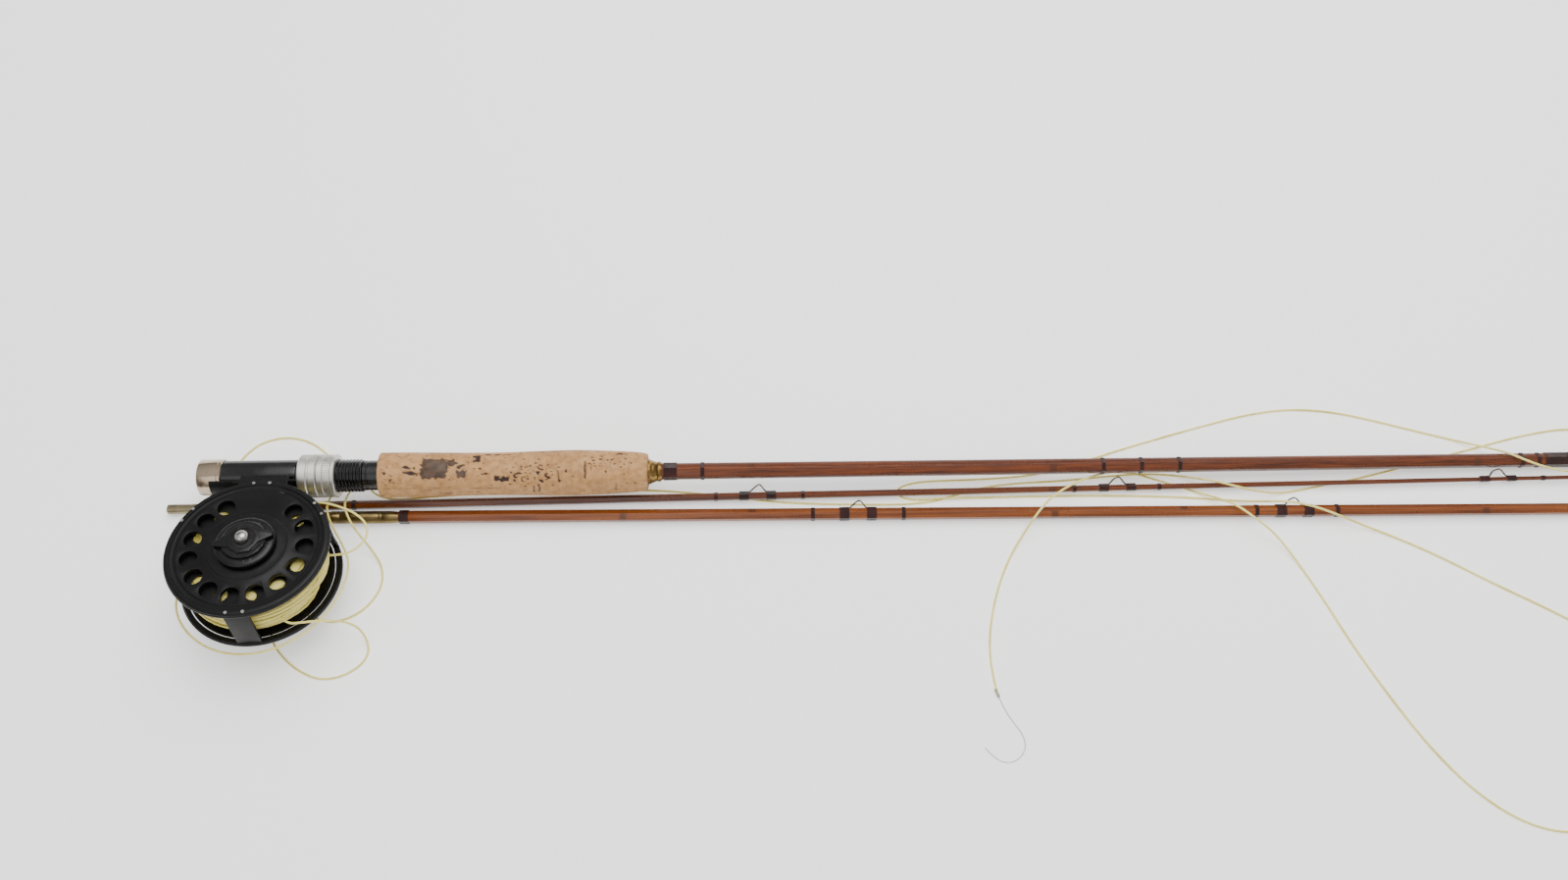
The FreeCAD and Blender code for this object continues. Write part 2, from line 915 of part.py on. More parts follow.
rivet_angles = [angle + side for angle in pillar_angles + (90,) for side in (-6, 6)]
rivet_tops = polar_cylinders("rivet_tops", "0.9", "frame_radius - 2", rivet_angles, plate_top, "0.35")
rivet_ends = polar_cylinders(
    "rivet_ends", "0.9", "frame_radius - 2", rivet_angles, "-frame_half - 0.35", "0.35"
)
node("frame_rivets", group("rivets", [rivet_tops, rivet_ends]), reel_place)


def lengthwise(item, length):
    """Lay a cylinder along the rod, centred over the foot."""
    item.Placement.Rotation = along_x
    return move(item, x=f"foot_middle - reel_middle - ({length}) / 2", y="reel_reach")


toe = lengthwise(cylinder("foot_toes", "barrel_radius + foot_toe", "foot_length"), "foot_length")
pad = lengthwise(cylinder("foot_pad_round", "barrel_radius + foot_thickness", "foot_pad"), "foot_pad")
foot_block = box(
    "foot_block",
    "foot_length + 2",
    "2 * barrel_radius",
    "foot_width",
    x="foot_middle - reel_middle - foot_length / 2 - 1",
    y="reel_reach - 2 * barrel_radius",
    z="-foot_width / 2",
)
saddle = common("foot_saddle", fuse("foot_round", [toe, pad]), foot_block)
stem = box(
    "foot_stem",
    "22",
    "reel_reach - barrel_radius - frame_radius + 2",
    "9",
    x="-11",
    y="frame_radius - 1",
    z="-4.5",
)
bridge = box(
    "foot_bridge",
    "26",
    "pillar_thickness",
    pillar_height,
    x="-13",
    y="frame_radius - pillar_thickness - 0.4",
    z="-frame_half + plate_thickness",
)
barrel_room = lengthwise(
    cylinder("barrel_room", "barrel_radius + foot_clearance", "foot_length + 4"), "foot_length + 4"
)
node("reel_foot", cut("foot_cut", fuse("foot_whole", [saddle, stem, bridge]), barrel_room), reel_place)

# ---------------------------------------------------------------- spindle, drag and click

groove_low = "-frame_half + 0.6"
groove_high = "-frame_half + 1.7"
thread_top = "frame_half + drag_gap + drag_height - 1"
node(
    "reel_spindle",
    turned(
        "spindle_pin",
        [
            ("0", "-frame_half - 0.4"),
            ("spindle_radius - 0.4", "-frame_half - 0.4"),
            ("spindle_radius", "-frame_half"),
            ("spindle_radius", groove_low),
            ("spindle_radius - 0.7", groove_low),
            ("spindle_radius - 0.7", groove_high),
            ("spindle_radius", groove_high),
            ("spindle_radius", f"{plate_low} - 0.6"),
            ("spindle_root + 1", f"{plate_low} - 0.6"),
            ("spindle_root + 1", plate_low),
            ("spindle_root", plate_low),
            ("spindle_root", thread_top),
            ("0", thread_top),
        ],
    ),
    reel_place,
)
node(
    "drag_washer",
    tube("washer_disc", "spindle_root + running_fit", "drag_step_radius", plate_top, f"{plate_top} + 0.3"),
    reel_place,
)

knob_low = "frame_half + drag_gap + 0.3"
knob_step = "frame_half + drag_gap + 0.55 * drag_height"
knob_top = "frame_half + drag_gap + drag_height"
knob_bore = "spindle_root + running_fit"
knob_turned = turned(
    "knob_turned",
    [
        (knob_bore, f"{knob_low} + 2.2"),
        ("drag_step_radius - 3", f"{knob_low} + 2.2"),
        ("drag_step_radius - 3", knob_low),
        ("drag_radius - 0.5", knob_low),
        ("drag_radius", f"{knob_low} + 0.5"),
        ("drag_radius", f"{knob_step} - 0.6"),
        ("drag_radius - 0.6", knob_step),
        ("drag_step_radius", knob_step),
        ("drag_step_radius - 0.5", f"{knob_top} - 0.5"),
        ("drag_step_radius - 1", knob_top),
        ("drag_screw + 2", knob_top),
        ("drag_screw + 1", f"{knob_top} - 1.3"),
        (knob_bore, f"{knob_top} - 1.3"),
    ],
)
grip_notches = polar_cylinders(
    "grip_notches",
    "1.1",
    "drag_radius + 0.5",
    [20 * index for index in range(18)],
    f"{knob_low} - 1",
    "drag_height",
)
node("drag_knob", cut("knob_cut", knob_turned, grip_notches), reel_place)
node(
    "drag_spring",
    tube("spring_disc", "spindle_root + 0.4", "drag_step_radius - 3.6", f"{knob_low} + 0.5", f"{knob_low} + 2"),
    reel_place,
)
node(
    "drag_knob_screw",
    turned(
        "knob_screw",
        [
            ("0", thread_top),
            ("drag_screw", thread_top),
            ("drag_screw", f"{thread_top} + 2.6"),
            ("drag_screw * 0.85", f"{thread_top} + 3.9"),
            ("drag_screw * 0.5", f"{thread_top} + 4.8"),
            ("0", f"{thread_top} + 5.1"),
        ],
    ),
    reel_place,
)

rear_top = "frame_half - plate_thickness - rear_gap"
gear_disc = tube("gear_disc", "spindle_radius + running_fit + 1.2", "gear_radius", rear_top, f"{rear_top} + 1")
tooth_gaps = []
tooth_pitch = 360 / size.gear_teeth
for tooth in range(int(size.gear_teeth)):
    gap = doc.addObject("Part::Prism", f"gear_gap_{tooth}")
    gap.Polygon = 3
    bind(gap, Circumradius="gear_tooth", Height="3")
    move(
        gap,
        x=f"(gear_radius + 0.5 * gear_tooth - 0.25) * cos({(tooth + 0.5) * tooth_pitch})",
        y=f"(gear_radius + 0.5 * gear_tooth - 0.25) * sin({(tooth + 0.5) * tooth_pitch})",
        z=f"{rear_top} - 1",
    )
    gap.Placement.Rotation = Rotation(Vector(0, 0, 1), (tooth + 0.5) * tooth_pitch + 180)
    tooth_gaps.append(gap)
node("click_gear", cut("gear_cut", gear_disc, group("gear_gaps", tooth_gaps)), reel_place)

pawl_low = f"{rear_top} + 0.3"
post_x = f"pawl_reach * cos({size.pawl_angle})"
post_y = f"pawl_reach * sin({size.pawl_angle})"
node(
    "pawl_post",
    cylinder("post", "1", f"{plate_low} - ({pawl_low})", x=post_x, y=post_y, z=pawl_low),
    reel_place,
)


def pawl():
    """A pointed tooth on a post, its tip in a gap of the click gear."""
    angle = math.radians(size.pawl_angle)
    inward = Vector(-math.cos(angle), -math.sin(angle), 0)
    across = Vector(-inward.y, inward.x, 0)
    low = size.frame_half - size.plate_thickness - size.rear_gap + 0.35
    post = Vector(size.pawl_reach * math.cos(angle), size.pawl_reach * math.sin(angle), low)
    tip = size.pawl_reach - size.gear_radius + 0.35
    corners = [post + across * 1.8, post + inward * tip + across * 0.12]
    corners += [post + inward * tip - across * 0.12, post - across * 1.8, post + across * 1.8]
    wedge = Part.Face(Part.makePolygon(corners)).extrude(Vector(0, 0, 0.8))
    boss = Part.makeCylinder(1.8, 0.8, post)
    hole = Part.makeCylinder(1 + size.running_fit, 3, post - Vector(0, 0, 1))
    item = doc.addObject("Part::Feature", "pawl_tooth")
    item.Shape = boss.fuse(wedge).cut(hole).removeSplitter()
    return item


node("click_pawl", pawl(), reel_place)


def click_spring():
    """A bent wire spring behind the pawl, held on the back plate."""
    z = size.frame_half - size.plate_thickness - 0.45
    angle = math.radians(size.pawl_angle)
    outward = Vector(math.cos(angle), math.sin(angle), 0)
    across = Vector(-outward.y, outward.x, 0)
    post = outward * size.pawl_reach + Vector(0, 0, z)
    points = [post + across * 7 + outward * 1.0, post + across * 3.2 + outward * 3.2]
    points += [post + outward * 3.6, post - across * 3.2 + outward * 3.2]
    points += [post - across * 7 + outward * 1.0]
    item = doc.addObject("Part::Feature", "click_wire")
    item.Shape = swept_tube(points, 0.35)[0]
    return item


node("click_spring", click_spring(), reel_place)

# ---------------------------------------------------------------- spool

front_low = "-frame_half + 2.2"
front_high = "-frame_half + 2.2 + flange_thickness"
rear_low = f"{rear_top} - flange_thickness"
bush_bore = "spindle_radius + running_fit"
node("spool_bush", tube("bush", bush_bore, "bush_radius", front_low, rear_low), reel_place)
node("spool_arbor", tube("arbor", "bush_radius", "spool_arbor", front_high, rear_low), reel_place)
spool_hole_angles = [size.handle_angle + 30 * index for index in range(12) if index % 6]


def flange(name, low, high):
    disc = turned(
        f"{name}_disc",
        [
            ("bush_radius", low),
            (f"{spool_edge} - 0.4", low),
            (spool_edge, f"({low} + {high}) / 2"),
            (f"{spool_edge} - 0.4", high),
            ("bush_radius", high),
        ],
    )
    holes = polar_cylinders(
        f"{name}_holes",
        "spool_hole",
        f"{spool_edge} - spool_hole_inset",
        spool_hole_angles,
        f"{low} - 1",
        "flange_thickness + 2",
    )
    return cut(f"{name}_cut", disc, holes)


rear_disc = tube("rear_hub", bush_bore, "bush_radius", rear_low, rear_top)
node("spool_rear_flange", fuse("rear_whole", [flange("rear", rear_low, rear_top), rear_disc]), reel_place)
node("spool_front_flange", flange("front", front_low, front_high), reel_place)
node(
    "wound_line",
    tube(
        "line_ring",
        "spool_arbor + 0.05",
        f"{spool_edge} - line_inset",
        f"{front_high} + 0.1",
        f"{rear_low} - 0.1",
    ),
    reel_place,
)

handle_x = f"({spool_edge} - handle_inset) * cos({size.handle_angle})"
handle_y = f"({spool_edge} - handle_inset) * sin({size.handle_angle})"
knob_root = f"{front_low} - handle_collar"
knob_end = f"{front_low} - handle_collar - 0.35 - handle_length"
handle_pin = turned(
    "pin_turned",
    [
        ("0", f"{knob_end} + 1"),
        ("handle_pin + 1.6", f"{knob_end} + 1"),
        ("handle_pin + 1.6", f"{knob_end} + 2"),
        ("handle_pin", f"{knob_end} + 2"),
        ("handle_pin", knob_root),
        ("handle_root - 0.5", knob_root),
        ("handle_root", front_low),
        ("0", front_low),
    ],
)
move(handle_pin, x=handle_x, y=handle_y)
knob_turned = turned(
    "handle_turned",
    [
        ("handle_pin + running_fit", f"{knob_root} - 0.35"),
        ("handle_root - 0.6", f"{knob_root} - 0.35"),
        ("handle_root", f"{knob_root} - 1.2"),
        ("handle_root - 0.3", f"{knob_root} - 0.35 * handle_length"),
        ("handle_tip", f"{knob_end} + 0.2 * handle_length"),
        ("handle_tip - 0.3", f"{knob_end} + 1.2"),
        ("handle_tip - 1.6", knob_end),
        ("handle_pin + 2", knob_end),
        ("handle_pin + 2", f"{knob_end} + 2.4"),
        ("handle_pin + running_fit", f"{knob_end} + 2.4"),
    ],
)
move(knob_turned, x=handle_x, y=handle_y)
node("handle_pin", handle_pin, reel_place)
node("handle_knob", knob_turned, reel_place)
weight = cylinder(
    "weight_disc", "4.6", "1.8", x=f"-({handle_x})", y=f"-({handle_y})", z=f"{front_low} - 1.8"
)
node("counterweight", weight, reel_place)

# a sliding latch in the spindle's groove, under a cover on the spool's face
latch_low = "-frame_half + 0.8"
latch_bar = box("latch_bar", "18.5", "6", "0.7", x="-6.5", y="-3", z=latch_low)
latch_tab = box("latch_tab", "1.6", "6", "2.6", x="10.4", y="-3", z=f"{latch_low} - 1.9")
key_hole = cylinder("key_hole", "spindle_radius + 0.3", "3", x="-latch_travel", z=f"{latch_low} - 1")
key_slot = box(
    "key_slot",
    "latch_travel",
    "2 * spindle_radius - 1.1",
    "3",
    x="-latch_travel",
    y="-spindle_radius + 0.55",
    z=f"{latch_low} - 1",
)
key_end = cylinder("key_end", "spindle_radius - 0.55", "3", z=f"{latch_low} - 1")
node(
    "spool_latch",
    cut("latch_cut", fuse("latch_whole", [latch_bar, latch_tab]), group("latch_key", [key_hole, key_slot, key_end])),
    reel_place,
)
cover_cap = turned(
    "cover_cap",
    [
        ("spindle_radius + 0.4", "-frame_half"),
        ("9", "-frame_half"),
        ("9.6", "-frame_half + 0.6"),
        ("9.6", front_low),
        ("bush_radius", front_low),
        ("bush_radius", "-frame_half + 0.5"),
        ("spindle_radius + 0.4", "-frame_half + 0.5"),
    ],
)
cover_slot = box("cover_slot", "30", "6.6", "1.4", x="-9", y="-3.3", z="-frame_half + 0.45")
cover_gate = box("cover_gate", "8", "6.6", "3", x="9.0", y="-3.3", z="-frame_half - 1")
node("latch_cover", cut("cover_cut", cover_cap, group("cover_room", [cover_slot, cover_gate])), reel_place)
node(
    "latch_screws",
    polar_cylinders("screw_heads", "1.2", "6.6", [90, 270], "-frame_half - 0.5", "0.5"),
    reel_place,
)

# ---------------------------------------------------------------- fly line
# Routes are measured from the butt cap along the rod, from the rod's axis, and from the floor.

loose_turn_route = [
    (5.8, -62.3, 28.6), (1, -69.3, 29.5), (-1, -79.3, 30), (4, -91.5, 31), (15, -102.5, 32.3),
    (29, -109.3, 33.2), (45, -111, 33.3), (60.4, -107.6, 32.7), (73.7, -99.5, 31.4),
    (84, -88, 29.4), (90, -75, 26.5), (92, -62, 22.5), (90, -51, 18), (84, -40, 14.6),
    (78, -31, 12.6), (73.5, -23, 12), (71.5, -15, 12), (72, -6, 6), (74, 4, 2), (72, 14, 0.7),
    (66, 22, 0.7), (54, 31.5, 0.7), (38, 35.4, 0.7), (22, 31, 0.7), (12, 20, 0.7),
    (9, 9, 0.9), (10, -2, 4), (12, -12, 10.5), (13, -19, 16), (17, -23, 22), (22.6, -28.4, 26.4),
]
loose_coil_route = [
    (80.8, -55, 36), (91, -55, 36), (99, -51.5, 35), (104.5, -44, 34), (103, -35, 33),
    (95, -28, 33), (84, -23.5, 33), (74, -20.5, 31), (67, -20.5, 28.8), (61, -26.2, 28.2),
]
running_line_route = [
    (61.4, -90.9, 39.2), (67, -95.6, 40), (73.5, -94.8, 38.6), (81, -92.5, 34),
    (89, -90.5, 27), (94.5, -89, 17), (98.5, -90.6, 7.5), (101.4, -96.4, 1.6),
    (101.7, -104, 0.7), (96.6, -110.6, 0.7), (87, -116, 0.7), (75, -117.3, 0.7),
    (63, -112, 0.7), (53.6, -104.6, 0.7), (45, -94, 0.7), (44, -83, 0.7), (53, -76, 0.7),
    (65, -79, 0.7), (77, -84, 0.7), (90, -81, 0.7), (100, -73, 0.7), (106, -62, 0.7),
    (105, -50, 0.9), (99, -41, 4), (91, -32, 9), (86, -25, 12), (82, -16, 12), (81, -7, 6.5),
    (84, 1, 2.2), (91, 2, 0.8), (97, -5, 0.7), (108, -8, 0.7), (125, -6.8, 0.7),
    (150, -5.4, 0.7), (185, -5, 0.7), (225, -4.6, 0.7), (262, -5, 0.7), (292, -8, 0.7),
    (322, -12.6, 0.7), (348, -15.6, 0.7), (380, -17, 0.7), (410, -17.9, 0.7),
    (430, -16.8, 0.7), (446, -12.4, 0.7), (462, -7.8, 0.7), (484, -5.6, 0.7), (512, -4.8, 0.7), (540, -2.2, 0.7),
    (562, -1.2, 0.7), (578, -2.8, 0.9), (590, -7, 6), (600, -10.5, 10), (614, -15, 10),
    (629, -16.6, 5), (644, -15.6, 0.7), (664, -12, 0.7), (688, -7.6, 0.7), (710, -2.6, 0.7),
    (738, 4.6, 0.7), (768, 12, 0.7), (796, 19, 0.7), (822, 23, 0.7), (841, 20, 2.6),
    (852, 11, 10), (855, 2, 14.6), (848, -7, 15), (832, -11.5, 12), (812, -10.5, 12),
    (796, -8, 14.6), (785, -3, 15), (777, 4, 11), (766, 11.4, 3.6), (752, 17, 0.7),
    (730, 23.5, 0.7), (706, 31, 0.7), (682, 37.4, 0.7), (656, 40, 0.7), (630, 37, 0.7),
    (602, 30, 0.7), (574, 22.4, 0.7), (546, 14.4, 0.7), (520, 6, 0.7), (494, -0.8, 0.7),
    (466, -2.6, 0.7), (438, -3, 0.7), (423, -3.6, 0.7), (413, -6, 0.7), (409.6, -9.8, 0.7), (412.6, -13.6, 0.7),
    (421, -15.3, 1.2), (432, -15.1, 2.2), (446, -14.7, 2.2), (460, -14.6, 0.8), (488, -14.4, 0.7), (520, -14.6, 0.7),
    (552, -15.4, 0.7), (584, -17, 0.7), (610, -19.6, 0.7), (626, -22, 4), (640, -25, 12),
    (655, -29, 13), (670, -33.4, 9), (686, -38, 2.6), (702, -44, 0.7), (727, -57, 0.7),
    (756, -75, 0.7), (784, -91, 0.7), (808, -106, 0.7), (829, -128, 0.7), (836, -156, 0.7),
    (824, -186, 0.7), (800, -208, 0.7), (771, -219, 0.7), (743, -213, 0.7),
    (718, -194, 0.7), (698, -168, 0.7), (682, -140, 0.7), (667.2, -111, 0.7),
    (654, -80, 0.7), (643, -58, 1), (631, -43, 7), (620, -36, 12), (611, -28, 12.4),
    (603, -20.5, 6), (592, -14.6, 0.9), (576, -8.4, 0.7), (565, -4.6, 0.7), (556, -1.9, 2.2), (547, -0.6, 2.3),
    (537, -1, 3.4), (528, -4.6, 7.4), (519, -9, 11), (508, -14.6, 12.4), (498, -22, 13),
    (490, -31, 11), (483, -40, 4), (476, -50, 0.8), (468, -66, 0.7), (462, -84, 0.7),
    (458.4, -102, 0.7), (458, -119, 0.7), (460.4, -134, 0.7),
]
leader_route = [
    (460.4, -134, 0.7), (463, -141, 0.5), (467, -149, 0.3), (473, -157, 0.3),
    (474, -166, 0.3), (467, -173, 0.3), (457, -172, 0.3), (451, -164, 0.3),
]


def laid_line(name, route, thickness):
    """A free line as one tube of tangent runs and arcs."""
    points = [Vector(origin_x + x, origin_y + y, z) for x, y, z in route]
    shape, length = swept_tube(points, thickness / 2)
    radii = [bend_radius(*corner) for corner in zip(points, points[1:], points[2:])]
    share = shape.Volume / (math.pi * thickness**2 / 4 * length)
    listed = " ".join(f"{radius:.0f}" for radius in radii)
    print(f"{name}: length {length:.0f}, volume share {share:.3f}, radii {listed}")
    item = doc.addObject("Part::Feature", f"{name}_tube")
    item.Shape = shape
    node(name, item, Placement())


laid_line("loose_turn", loose_turn_route, size.line_thickness)
laid_line("loose_coil", loose_coil_route, size.line_thickness)
laid_line("running_line", running_line_route, size.line_thickness)
laid_line("leader", leader_route, size.leader_thickness)

# ---------------------------------------------------------------- write

doc.recompute()
for item in doc.Objects:
    if "Invalid" in item.State or "Error" in item.State:
        raise RuntimeError(f"{item.Name} failed: {item.State}")
for name, item in nodes.items():
    if item.Shape.isNull() or not item.Shape.isValid():
        raise RuntimeError(f"{name} has no valid shape")

os.makedirs("parts", exist_ok=True)
for name, item in nodes.items():
    item.Shape.exportStep(os.path.join("parts", f"{name}.step"))
print(len(nodes), "nodes")
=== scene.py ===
import json
import math
import random

import bpy
from mathutils import Matrix, Vector, noise


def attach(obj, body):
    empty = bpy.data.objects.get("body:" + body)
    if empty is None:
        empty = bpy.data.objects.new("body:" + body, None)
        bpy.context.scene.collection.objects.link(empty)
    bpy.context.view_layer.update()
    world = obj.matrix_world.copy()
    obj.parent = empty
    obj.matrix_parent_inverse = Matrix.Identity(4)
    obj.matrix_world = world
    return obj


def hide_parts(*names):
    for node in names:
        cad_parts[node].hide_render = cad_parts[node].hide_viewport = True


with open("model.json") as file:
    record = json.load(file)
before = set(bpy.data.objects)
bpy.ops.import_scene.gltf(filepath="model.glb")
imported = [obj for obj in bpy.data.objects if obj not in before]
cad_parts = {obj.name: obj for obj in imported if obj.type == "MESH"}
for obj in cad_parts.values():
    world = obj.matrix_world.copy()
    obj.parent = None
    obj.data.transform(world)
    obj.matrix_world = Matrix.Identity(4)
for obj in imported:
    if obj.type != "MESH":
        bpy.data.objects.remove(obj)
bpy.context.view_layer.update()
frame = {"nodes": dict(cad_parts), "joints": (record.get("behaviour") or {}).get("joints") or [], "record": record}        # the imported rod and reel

mounts = {mount["name"]: mount for mount in frame["record"]["mounts"]}
joints = {joint["name"]: joint for joint in frame["joints"]}
mm = 0.001
random.seed(7)

# places: every rod section has Z along it and +Y on the guides' side, the reel has Z along its spindle


def axes(origin, x, y, z):
    turn = Matrix((x, y, z)).transposed().to_4x4()
    return Matrix.Translation(origin) @ turn @ Matrix.Scale(mm, 4)


def alongRod(origin, along):
    along = Vector(along).normalized()
    side = Vector((0, 0, 1)).cross(along).normalized()
    return axes(Vector(origin), side.cross(along), side, along)


rodStart = Vector(mounts["butt_cap_face"]["pos_m"])
rodAlong = -Vector(mounts["butt_cap_face"]["axis"])
midAlong = Vector(joints["mid_draw"]["axis"])
tipAlong = Vector(joints["tip_draw"]["axis"])
rodPlace = alongRod(rodStart, rodAlong)
midPlace = alongRod(Vector(mounts["mid_male_slide"]["pos_m"]) - midAlong * 0.015, midAlong)
tipPlace = alongRod(Vector(mounts["tip_male_slide"]["pos_m"]) - tipAlong * 0.012, tipAlong)
reelUp = Vector(joints["spool_spin"]["axis"]).normalized()
reelAlong = Vector(joints["latch_slide"]["axis"]).normalized()
reelPlace = axes(Vector(joints["spool_spin"]["pos_m"]), reelAlong, reelUp.cross(reelAlong), reelUp)


# camera

view = {"place": (-0.11558, -0.27702, 0.78565), "tilt": 24.0, "pan": -1.3, "lens": 32.217, "sensor": 36.0}
lens = bpy.data.cameras.new("camera")
lens.lens = view["lens"]
lens.sensor_width = view["sensor"]
camera = bpy.data.objects.new("camera", lens)
camera.location = view["place"]
camera.rotation_euler = (math.radians(view["tilt"]), 0, math.radians(view["pan"]))
bpy.context.scene.collection.objects.link(camera)
bpy.context.scene.camera = camera
print("camera set")


# materials

def rgb(red, green, blue):
    # a colour picked on a screen, as the shader wants it
    linear = []
    for part in (red, green, blue):
        part = part / 255
        linear.append(part / 12.92 if part <= 0.04045 else ((part + 0.055) / 1.055) ** 2.4)
    return (*linear, 1)


def add(tree, kind, inputs=None, **settings):
    made = tree.nodes.new(kind)
    for key, value in settings.items():
        setattr(made, key, value)
    for key, value in (inputs or {}).items():
        if isinstance(value, bpy.types.NodeSocket):
            tree.links.new(value, made.inputs[key])
        else:
            made.inputs[key].default_value = value
    return made


def mixed(tree, mask, first, second):
    # first where the mask is 0, second where it is 1
    made = add(tree, "ShaderNodeMix", {0: mask, 6: first, 7: second}, data_type="RGBA")
    return made.outputs[2]


def sums(tree, operation, first, second):
    return add(tree, "ShaderNodeMath", {0: first, 1: second}, operation=operation).outputs[0]


def newGroup(name, inputs, outputs):
    # inputs with their first values, None for a vector
    group = bpy.data.node_groups.new(name, "ShaderNodeTree")
    for socket, value in inputs.items():
        kind = "NodeSocketVector" if value is None else "NodeSocketFloat"
        made = group.interface.new_socket(socket, in_out="INPUT", socket_type=kind)
        if value is not None:
            made.default_value = value
    for socket in outputs:
        group.interface.new_socket(socket, in_out="OUTPUT", socket_type="NodeSocketFloat")
    return group, group.nodes.new("NodeGroupInput"), group.nodes.new("NodeGroupOutput")


def makeBlotches():
    # soft-edged patches: 1 inside, 0 outside
    inputs = {"Coords": None, "Scale": 10.0, "Detail": 4.0, "Low": 0.45, "High": 0.6}
    group, given, result = newGroup("blotches", inputs, ["Mask"])
    cloud = add(
        group,
        "ShaderNodeTexNoise",
        {"Vector": given.outputs[0], "Scale": given.outputs[1], "Detail": given.outputs[2]},
    )
    edge = add(
        group,
        "ShaderNodeMapRange",
        {"Value": cloud.outputs[0], 1: given.outputs["Low"], 2: given.outputs["High"]},
        interpolation_type="SMOOTHSTEP",
    )
    group.links.new(edge.outputs[0], result.inputs["Mask"])
    return group


def makeFibres():
    # fine streaks along the rod
    inputs = {"Coords": None, "Along": 40.0, "Across": 2500.0}
    group, given, result = newGroup("fibres", inputs, ["Streaks"])
    size = add(
        group,
        "ShaderNodeCombineXYZ",
        {"X": given.outputs["Along"], "Y": given.outputs["Across"], "Z": given.outputs["Across"]},
    )
    stretched = add(
        group,
        "ShaderNodeVectorMath",
        {0: given.outputs["Coords"], 1: size.outputs[0]},
        operation="MULTIPLY",
    )
    streaks = add(
        group, "ShaderNodeTexNoise", {"Vector": stretched.outputs[0], "Scale": 1.0, "Detail": 3.0}
    )
    group.links.new(streaks.outputs[0], result.inputs["Streaks"])
    return group


def makeHandling():
    # the dull and scuffed patches that hands and dust leave on a hard finish
    inputs = {"Coords": None, "Smooth": 0.25, "Dull": 0.5, "Size": 60.0}
    group, given, result = newGroup("handling", inputs, ["Roughness", "Scuffs"])
    cloud = {"Vector": given.outputs["Coords"], "Scale": given.outputs["Size"], "Detail": 6.0}
    broad = add(group, "ShaderNodeTexNoise", {**cloud, "Roughness": 0.65})
    spread = add(
        group,
        "ShaderNodeMapRange",
        {"Value": broad.outputs[0], 1: 0.35, 2: 0.68, 3: given.outputs["Smooth"], 4: given.outputs["Dull"]},
    )
    fine = add(
        group,
        "ShaderNodeTexNoise",
        {"Vector": given.outputs["Coords"], "Scale": 900.0, "Detail": 5.0, "Distortion": 1.5},
    )
    scuffs = add(group, "ShaderNodeMapRange", {"Value": fine.outputs[0], 1: 0.62, 2: 0.74})
    group.links.new(spread.outputs[0], result.inputs["Roughness"])
    group.links.new(scuffs.outputs[0], result.inputs["Scuffs"])
    return group


groups = {"blotches": makeBlotches(), "fibres": makeFibres(), "handling": makeHandling()}


def fromGroup(tree, name, inputs):
    return add(tree, "ShaderNodeGroup", inputs, node_tree=groups[name])


def newMaterial(name, **fixed):
    made = bpy.data.materials.new(name)
    made.use_nodes = True
    tree = made.node_tree
    shader = tree.nodes["Principled BSDF"]
    for key, value in fixed.items():
        shader.inputs[key.replace("_", " ")].default_value = value
    coords = tree.nodes.new("ShaderNodeTexCoord").outputs["Object"]
    return made, tree, shader, coords


def patches(tree, coords, scale, low, high, **more):
    inputs = {"Coords": coords, "Scale": scale, "Low": low, "High": high, **more}
    return fromGroup(tree, "blotches", inputs).outputs[0]


def share(tree, mask, part):
    return sums(tree, "MULTIPLY", mask, part)


def handled(tree, shader, coords, smooth, dull, size):
    # roughness from handling; gives back the scuffs
    surface = fromGroup(tree, "handling", {"Coords": coords, "Smooth": smooth, "Dull": dull, "Size": size})
    tree.links.new(surface.outputs["Roughness"], shader.inputs["Roughness"])
    return surface.outputs["Scuffs"]


def kept(tree, name):
    # a value that the mesh carries
    return add(tree, "ShaderNodeAttribute", attribute_name=name).outputs["Fac"]


def bump(tree, shader, height, distance, strength):
    made = add(tree, "ShaderNodeBump", {"Height": height, "Distance": distance, "Strength": strength})
    tree.links.new(made.outputs[0], shader.inputs["Normal"])


def caneMaterial(name, dark, light, mark):
    # split cane under varnish: fibres, six strips of slightly different tone, growth rings of the bamboo
    made, tree, shader, coords = newMaterial(
        name, Coat_Weight=0.3, Coat_Roughness=0.1, Specular_IOR_Level=0.35
    )
    fine = fromGroup(tree, "fibres", {"Coords": coords, "Along": 35.0, "Across": 2600.0}).outputs[0]
    coarse = fromGroup(tree, "fibres", {"Coords": coords, "Along": 9.0, "Across": 420.0}).outputs[0]
    grain = sums(tree, "ADD", share(tree, coarse, 0.5), share(tree, fine, 0.6))
    tone = add(tree, "ShaderNodeMapRange", {"Value": grain, 1: 0.4, 2: 0.72}).outputs[0]
    body = mixed(tree, tone, rgb(*dark), rgb(*light))
    strip = kept(tree, "strip")
    body = mixed(tree, share(tree, strip, 0.4), body, rgb(*mark))
    along = add(tree, "ShaderNodeSeparateXYZ", {0: coords}).outputs[0]
    slid = sums(tree, "ADD", share(tree, along, 3.9), share(tree, strip, 2.7))
    ring = sums(tree, "ABSOLUTE", sums(tree, "SUBTRACT", sums(tree, "FRACT", slid, 0.0), 0.5), 0.0)
    node = add(
        tree,
        "ShaderNodeMapRange",
        {"Value": ring, 1: 0.004, 2: 0.012, 3: 0.75, 4: 0.0},
        interpolation_type="SMOOTHSTEP",
    ).outputs[0]
    body = mixed(tree, node, body, rgb(70, 34, 16))
    worn = patches(tree, coords, 22.0, 0.5, 0.75)
    body = mixed(tree, share(tree, worn, 0.35), body, rgb(*mark))
    tree.links.new(body, shader.inputs["Base Color"])
    handled(tree, shader, coords, 0.2, 0.42, 45.0)
    bump(tree, shader, grain, 0.00006, 0.5)
    return made


